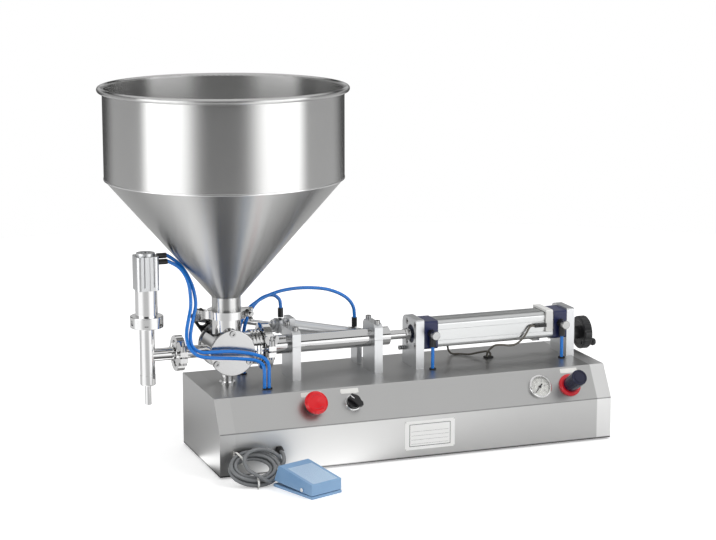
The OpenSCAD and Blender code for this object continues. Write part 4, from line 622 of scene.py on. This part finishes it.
def frame_line(bm, w, h, line, place, lift):
    """A thin rectangular frame."""
    place = place @ Matrix.Translation((0, 0, lift * MM))
    for x0, x1, y0, y1 in ((-w / 2, w / 2, h / 2 - line, h / 2),
                           (-w / 2, w / 2, -h / 2, -h / 2 + line),
                           (-w / 2, -w / 2 + line, -h / 2 + line, h / 2 - line),
                           (w / 2 - line, w / 2, -h / 2 + line, h / 2 - line)):
        plate(bm, [(x0, y0), (x1, y0), (x1, y1), (x0, y1)], 0.05, place)


bm = bmesh.new()
frame_line(bm, 75, 39, 0.9, front, 0.5)
for row in range(4):
    rule = front @ Matrix.Translation((0, (6.5 - 7.2 * row) * MM, 0.5 * MM))
    plate(bm, [(-34, -0.15), (34, -0.15), (34, 0.15), (-34, 0.15)], 0.05, rule)
from_bmesh("name_plate_frame", bm, dial_black, "machine", "black_plastic")
bm = bmesh.new()
for x in (-1, 1):
    for y in (-1, 1):
        spot = front @ Matrix.Translation(Vector((x * 44.3, y * 23.8, 0.45)) * MM)
        lathe(bm, [(0, 0.55), (0.5, 0.5), (0.85, 0.25), (0.95, 0)], spot, 16)
from_bmesh("name_plate_rivets", bm, zinc, "machine", "bright_steel")

# Bare legend plates above the emergency stop, the selector and the regulator
bm = bmesh.new()
for x, up, w in ((-189, 54.6, 36), (-121, 54.6, 32), (287, 54.8, 32)):
    plate(bm, round_rect(w, 8.2, 1.5), 0.4, panel(x, up))
from_bmesh("legend_plates", bm, tie_white, "machine", "white_plastic")

# Turning arrows on the emergency stop's head
bm = bmesh.new()
for start in (90, 270):
    place = panel(-188.7, 34.3, 24.4)
    arc = [math.radians(start + a) for a in range(-32, 33, 4)]
    outer = [(12.6 * math.cos(a), 12.6 * math.sin(a)) for a in arc]
    inner = [(11.2 * math.cos(a), 11.2 * math.sin(a)) for a in reversed(arc)]
    plate(bm, outer + inner, 0.5, place)
    tip, back = math.radians(start + 48), math.radians(start + 32)
    head = ((10, back), (13.8, back), (11.9, tip))
    plate(bm, [(r * math.cos(a), r * math.sin(a)) for r, a in head], 0.5, place)
from_bmesh("estop_arrows", bm, ring_red, "estop_mushroom", "red_plastic")

# White index line on the selector's lever
bm = bmesh.new()
place = panel(-118.5, 33.8, 17.3) @ Matrix.Rotation(math.radians(45), 4, "Z")
plate(bm, [(-0.7, 3.4), (0.7, 3.4), (0.7, 11.2), (-0.7, 11.2)], 0.5, place)
from_bmesh("selector_mark", bm, mark_white, "selector", "white_plastic")

# Weld bead where the hopper's cylinder meets its cone
bm = bmesh.new()
half_turn = [math.radians(t) for t in range(-90, 91, 30)]
bead = [(HOPPER_R + 0.55 * math.cos(a), SEAM_Z + 1.5 * math.sin(a)) for a in half_turn]
lathe(bm, bead, frame_at((HOPPER_X, 0, 0), (1, 0, 0), (0, 0, 1)), 128)
from_bmesh("hopper_seam", bm, polished, "machine", "hopper_steel")

# Pedal: rows of small pads on the tread, with a smooth band behind them
bm = bmesh.new()
slope = math.atan2(14, 83)
for row in range(TREAD_ROWS):
    for column in range(TREAD_COLUMNS):
        x, along = (column - TREAD_COLUMNS // 2) * TREAD_PITCH, 4 + row * TREAD_PITCH
        y, z = -48 + along * math.cos(slope), 24 + along * math.sin(slope)
        place = frame_at(pedal_point(x, y, z - 0.15), pedal_way(1, 0, 0),
                         pedal_way(0, -math.sin(slope), math.cos(slope)))
        low, high = round_rect(2.5, 2.5, 0.6, 2), round_rect(1.7, 1.7, 0.4, 2)
        a = [bm.verts.new(place @ Vector((px * MM, py * MM, 0))) for px, py in low]
        b = [bm.verts.new(place @ Vector((px * MM, py * MM, 0.75 * MM))) for px, py in high]
        bm.faces.new(b)
        for i in range(len(a)):
            j = (i + 1) % len(a)
            bm.faces.new((a[i], a[j], b[j], b[i]))
from_bmesh("pedal_tread", bm, pedal_pads, "pedal", "pedal_blue", 60)

# White caps over the ends of the pedal's hinge pin
bm = bmesh.new()
for side in (-1, 1):
    place = frame_at(pedal_point(side * 32.35, *PEDAL_PIN), (0, 0, 1), pedal_way(side, 0, 0))
    lathe(bm, [(0, 0.7), (2.2, 0.6), (3.2, 0.2), (3.4, -0.2), (3.4, -1.1)], place, 32)
from_bmesh("pedal_pin_ends", bm, mark_white, "machine", "white_plastic")

# Floor, studio and lights
middle = YAW - math.radians(3.7)
floor_middle = YAW + math.radians(3)


def studio_level(x, y, span, facing):
    """Brightness of the studio in a direction from the hopper: dark ahead, two bright sides."""
    toward = (x * -math.sin(facing) - y * math.cos(facing)) / span
    sides = (toward * -1).step(-0.985, -0.74) * toward.step(0.04, 0.34)
    behind = (toward * -1).step(-0.6, -0.2) * toward.step(-0.9, -0.55)
    return sides * 2.45 + behind * 0.45 + 0.08


floor_mat = Shader("floor", roughness=0.9)
rays = floor_mat.tree.nodes.new("ShaderNodeLightPath").outputs
seen, mirrored = (Sock(floor_mat.tree, rays[name]) for name in ("Is Camera Ray", "Is Glossy Ray"))
# Near the hopper the floor turns dark in reflections and glows in bright bands seen only in
# reflections: painted reflections for the hopper and its cone.
across, ahead = floor_mat.x - HOPPER_X * MM, floor_mat.y
reach = (across * across + ahead * ahead).calc("SQRT").calc("MAXIMUM", 0.01)
near = (reach * -1).step(-0.45, -0.22)
dim = floor_mat.mix(mirrored * near, (0.62, 0.62, 0.62), (0.06, 0.06, 0.06))
bands = studio_level(across, ahead, reach, floor_middle) * near.to(0.25, 0.68)
floor_mat.set(base_color=floor_mat.mix(seen, dim, (0.92, 0.92, 0.92)), emission_color=(1, 1, 1),
              emission_strength=seen * 0.38 + mirrored * bands)
bm = bmesh.new()
bmesh.ops.create_circle(bm, cap_ends=True, radius=2.2, segments=96)
mesh = bpy.data.meshes.new("floor")
bm.to_mesh(mesh)
bm.free()
floor = bpy.data.objects.new("floor", mesh)
floor.location = (0, 0, -0.0002)
floor.data.materials.append(floor_mat.mat)
scene.collection.objects.link(floor)

world = bpy.data.worlds.new("studio")
scene.world = world
world.use_nodes = True
tree = world.node_tree
sky = tree.nodes["Background"]
split = tree.nodes.new("ShaderNodeSeparateXYZ")
tree.links.new(tree.nodes.new("ShaderNodeTexCoord").outputs["Generated"], split.inputs[0])
dx, dy, dz = (Sock(tree, o) for o in split.outputs)
flat = (dx * dx + dy * dy).calc("SQRT").calc("MAXIMUM", 0.001)
top, upper = dz.step(0.42, 0.6), dz.step(0.2, 0.36)
backdrop = (dx * math.sin(middle) + dy * math.cos(middle)).step(0.5, 0.85) * dz.step(0.0, 0.16)
level = (studio_level(dx, dy, flat, middle) + backdrop * 0.5) * (upper * -1 + 1) + top * 0.86
camera_ray = Sock(tree, tree.nodes.new("ShaderNodeLightPath").outputs["Is Camera Ray"])
level = level * (camera_ray * -1 + 1) + camera_ray
put(tree, sky.inputs["Strength"], level)
sky.inputs["Color"].default_value = (1, 1, 1, 1)


def area_light(name, location, target, size, power):
    light = bpy.data.objects.new(name, bpy.data.lights.new(name, "AREA"))
    light.data.shape = "DISK"
    light.data.size = size
    light.data.energy = power
    light.location = location
    light.visible_glossy = False
    light.rotation_euler = (Vector(target) - Vector(location)).to_track_quat("-Z", "Y").to_euler()
    scene.collection.objects.link(light)


area_light("key", (1.5, -1.6, 2.2), (0, 0, 0.2), 1.3, 20)
area_light("fill", (-2.0, -1.4, 1.6), (0, 0, 0.2), 1.6, 9)
area_light("back", (0.4, 2.2, 1.8), (0, 0, 0.2), 1.6, 9)
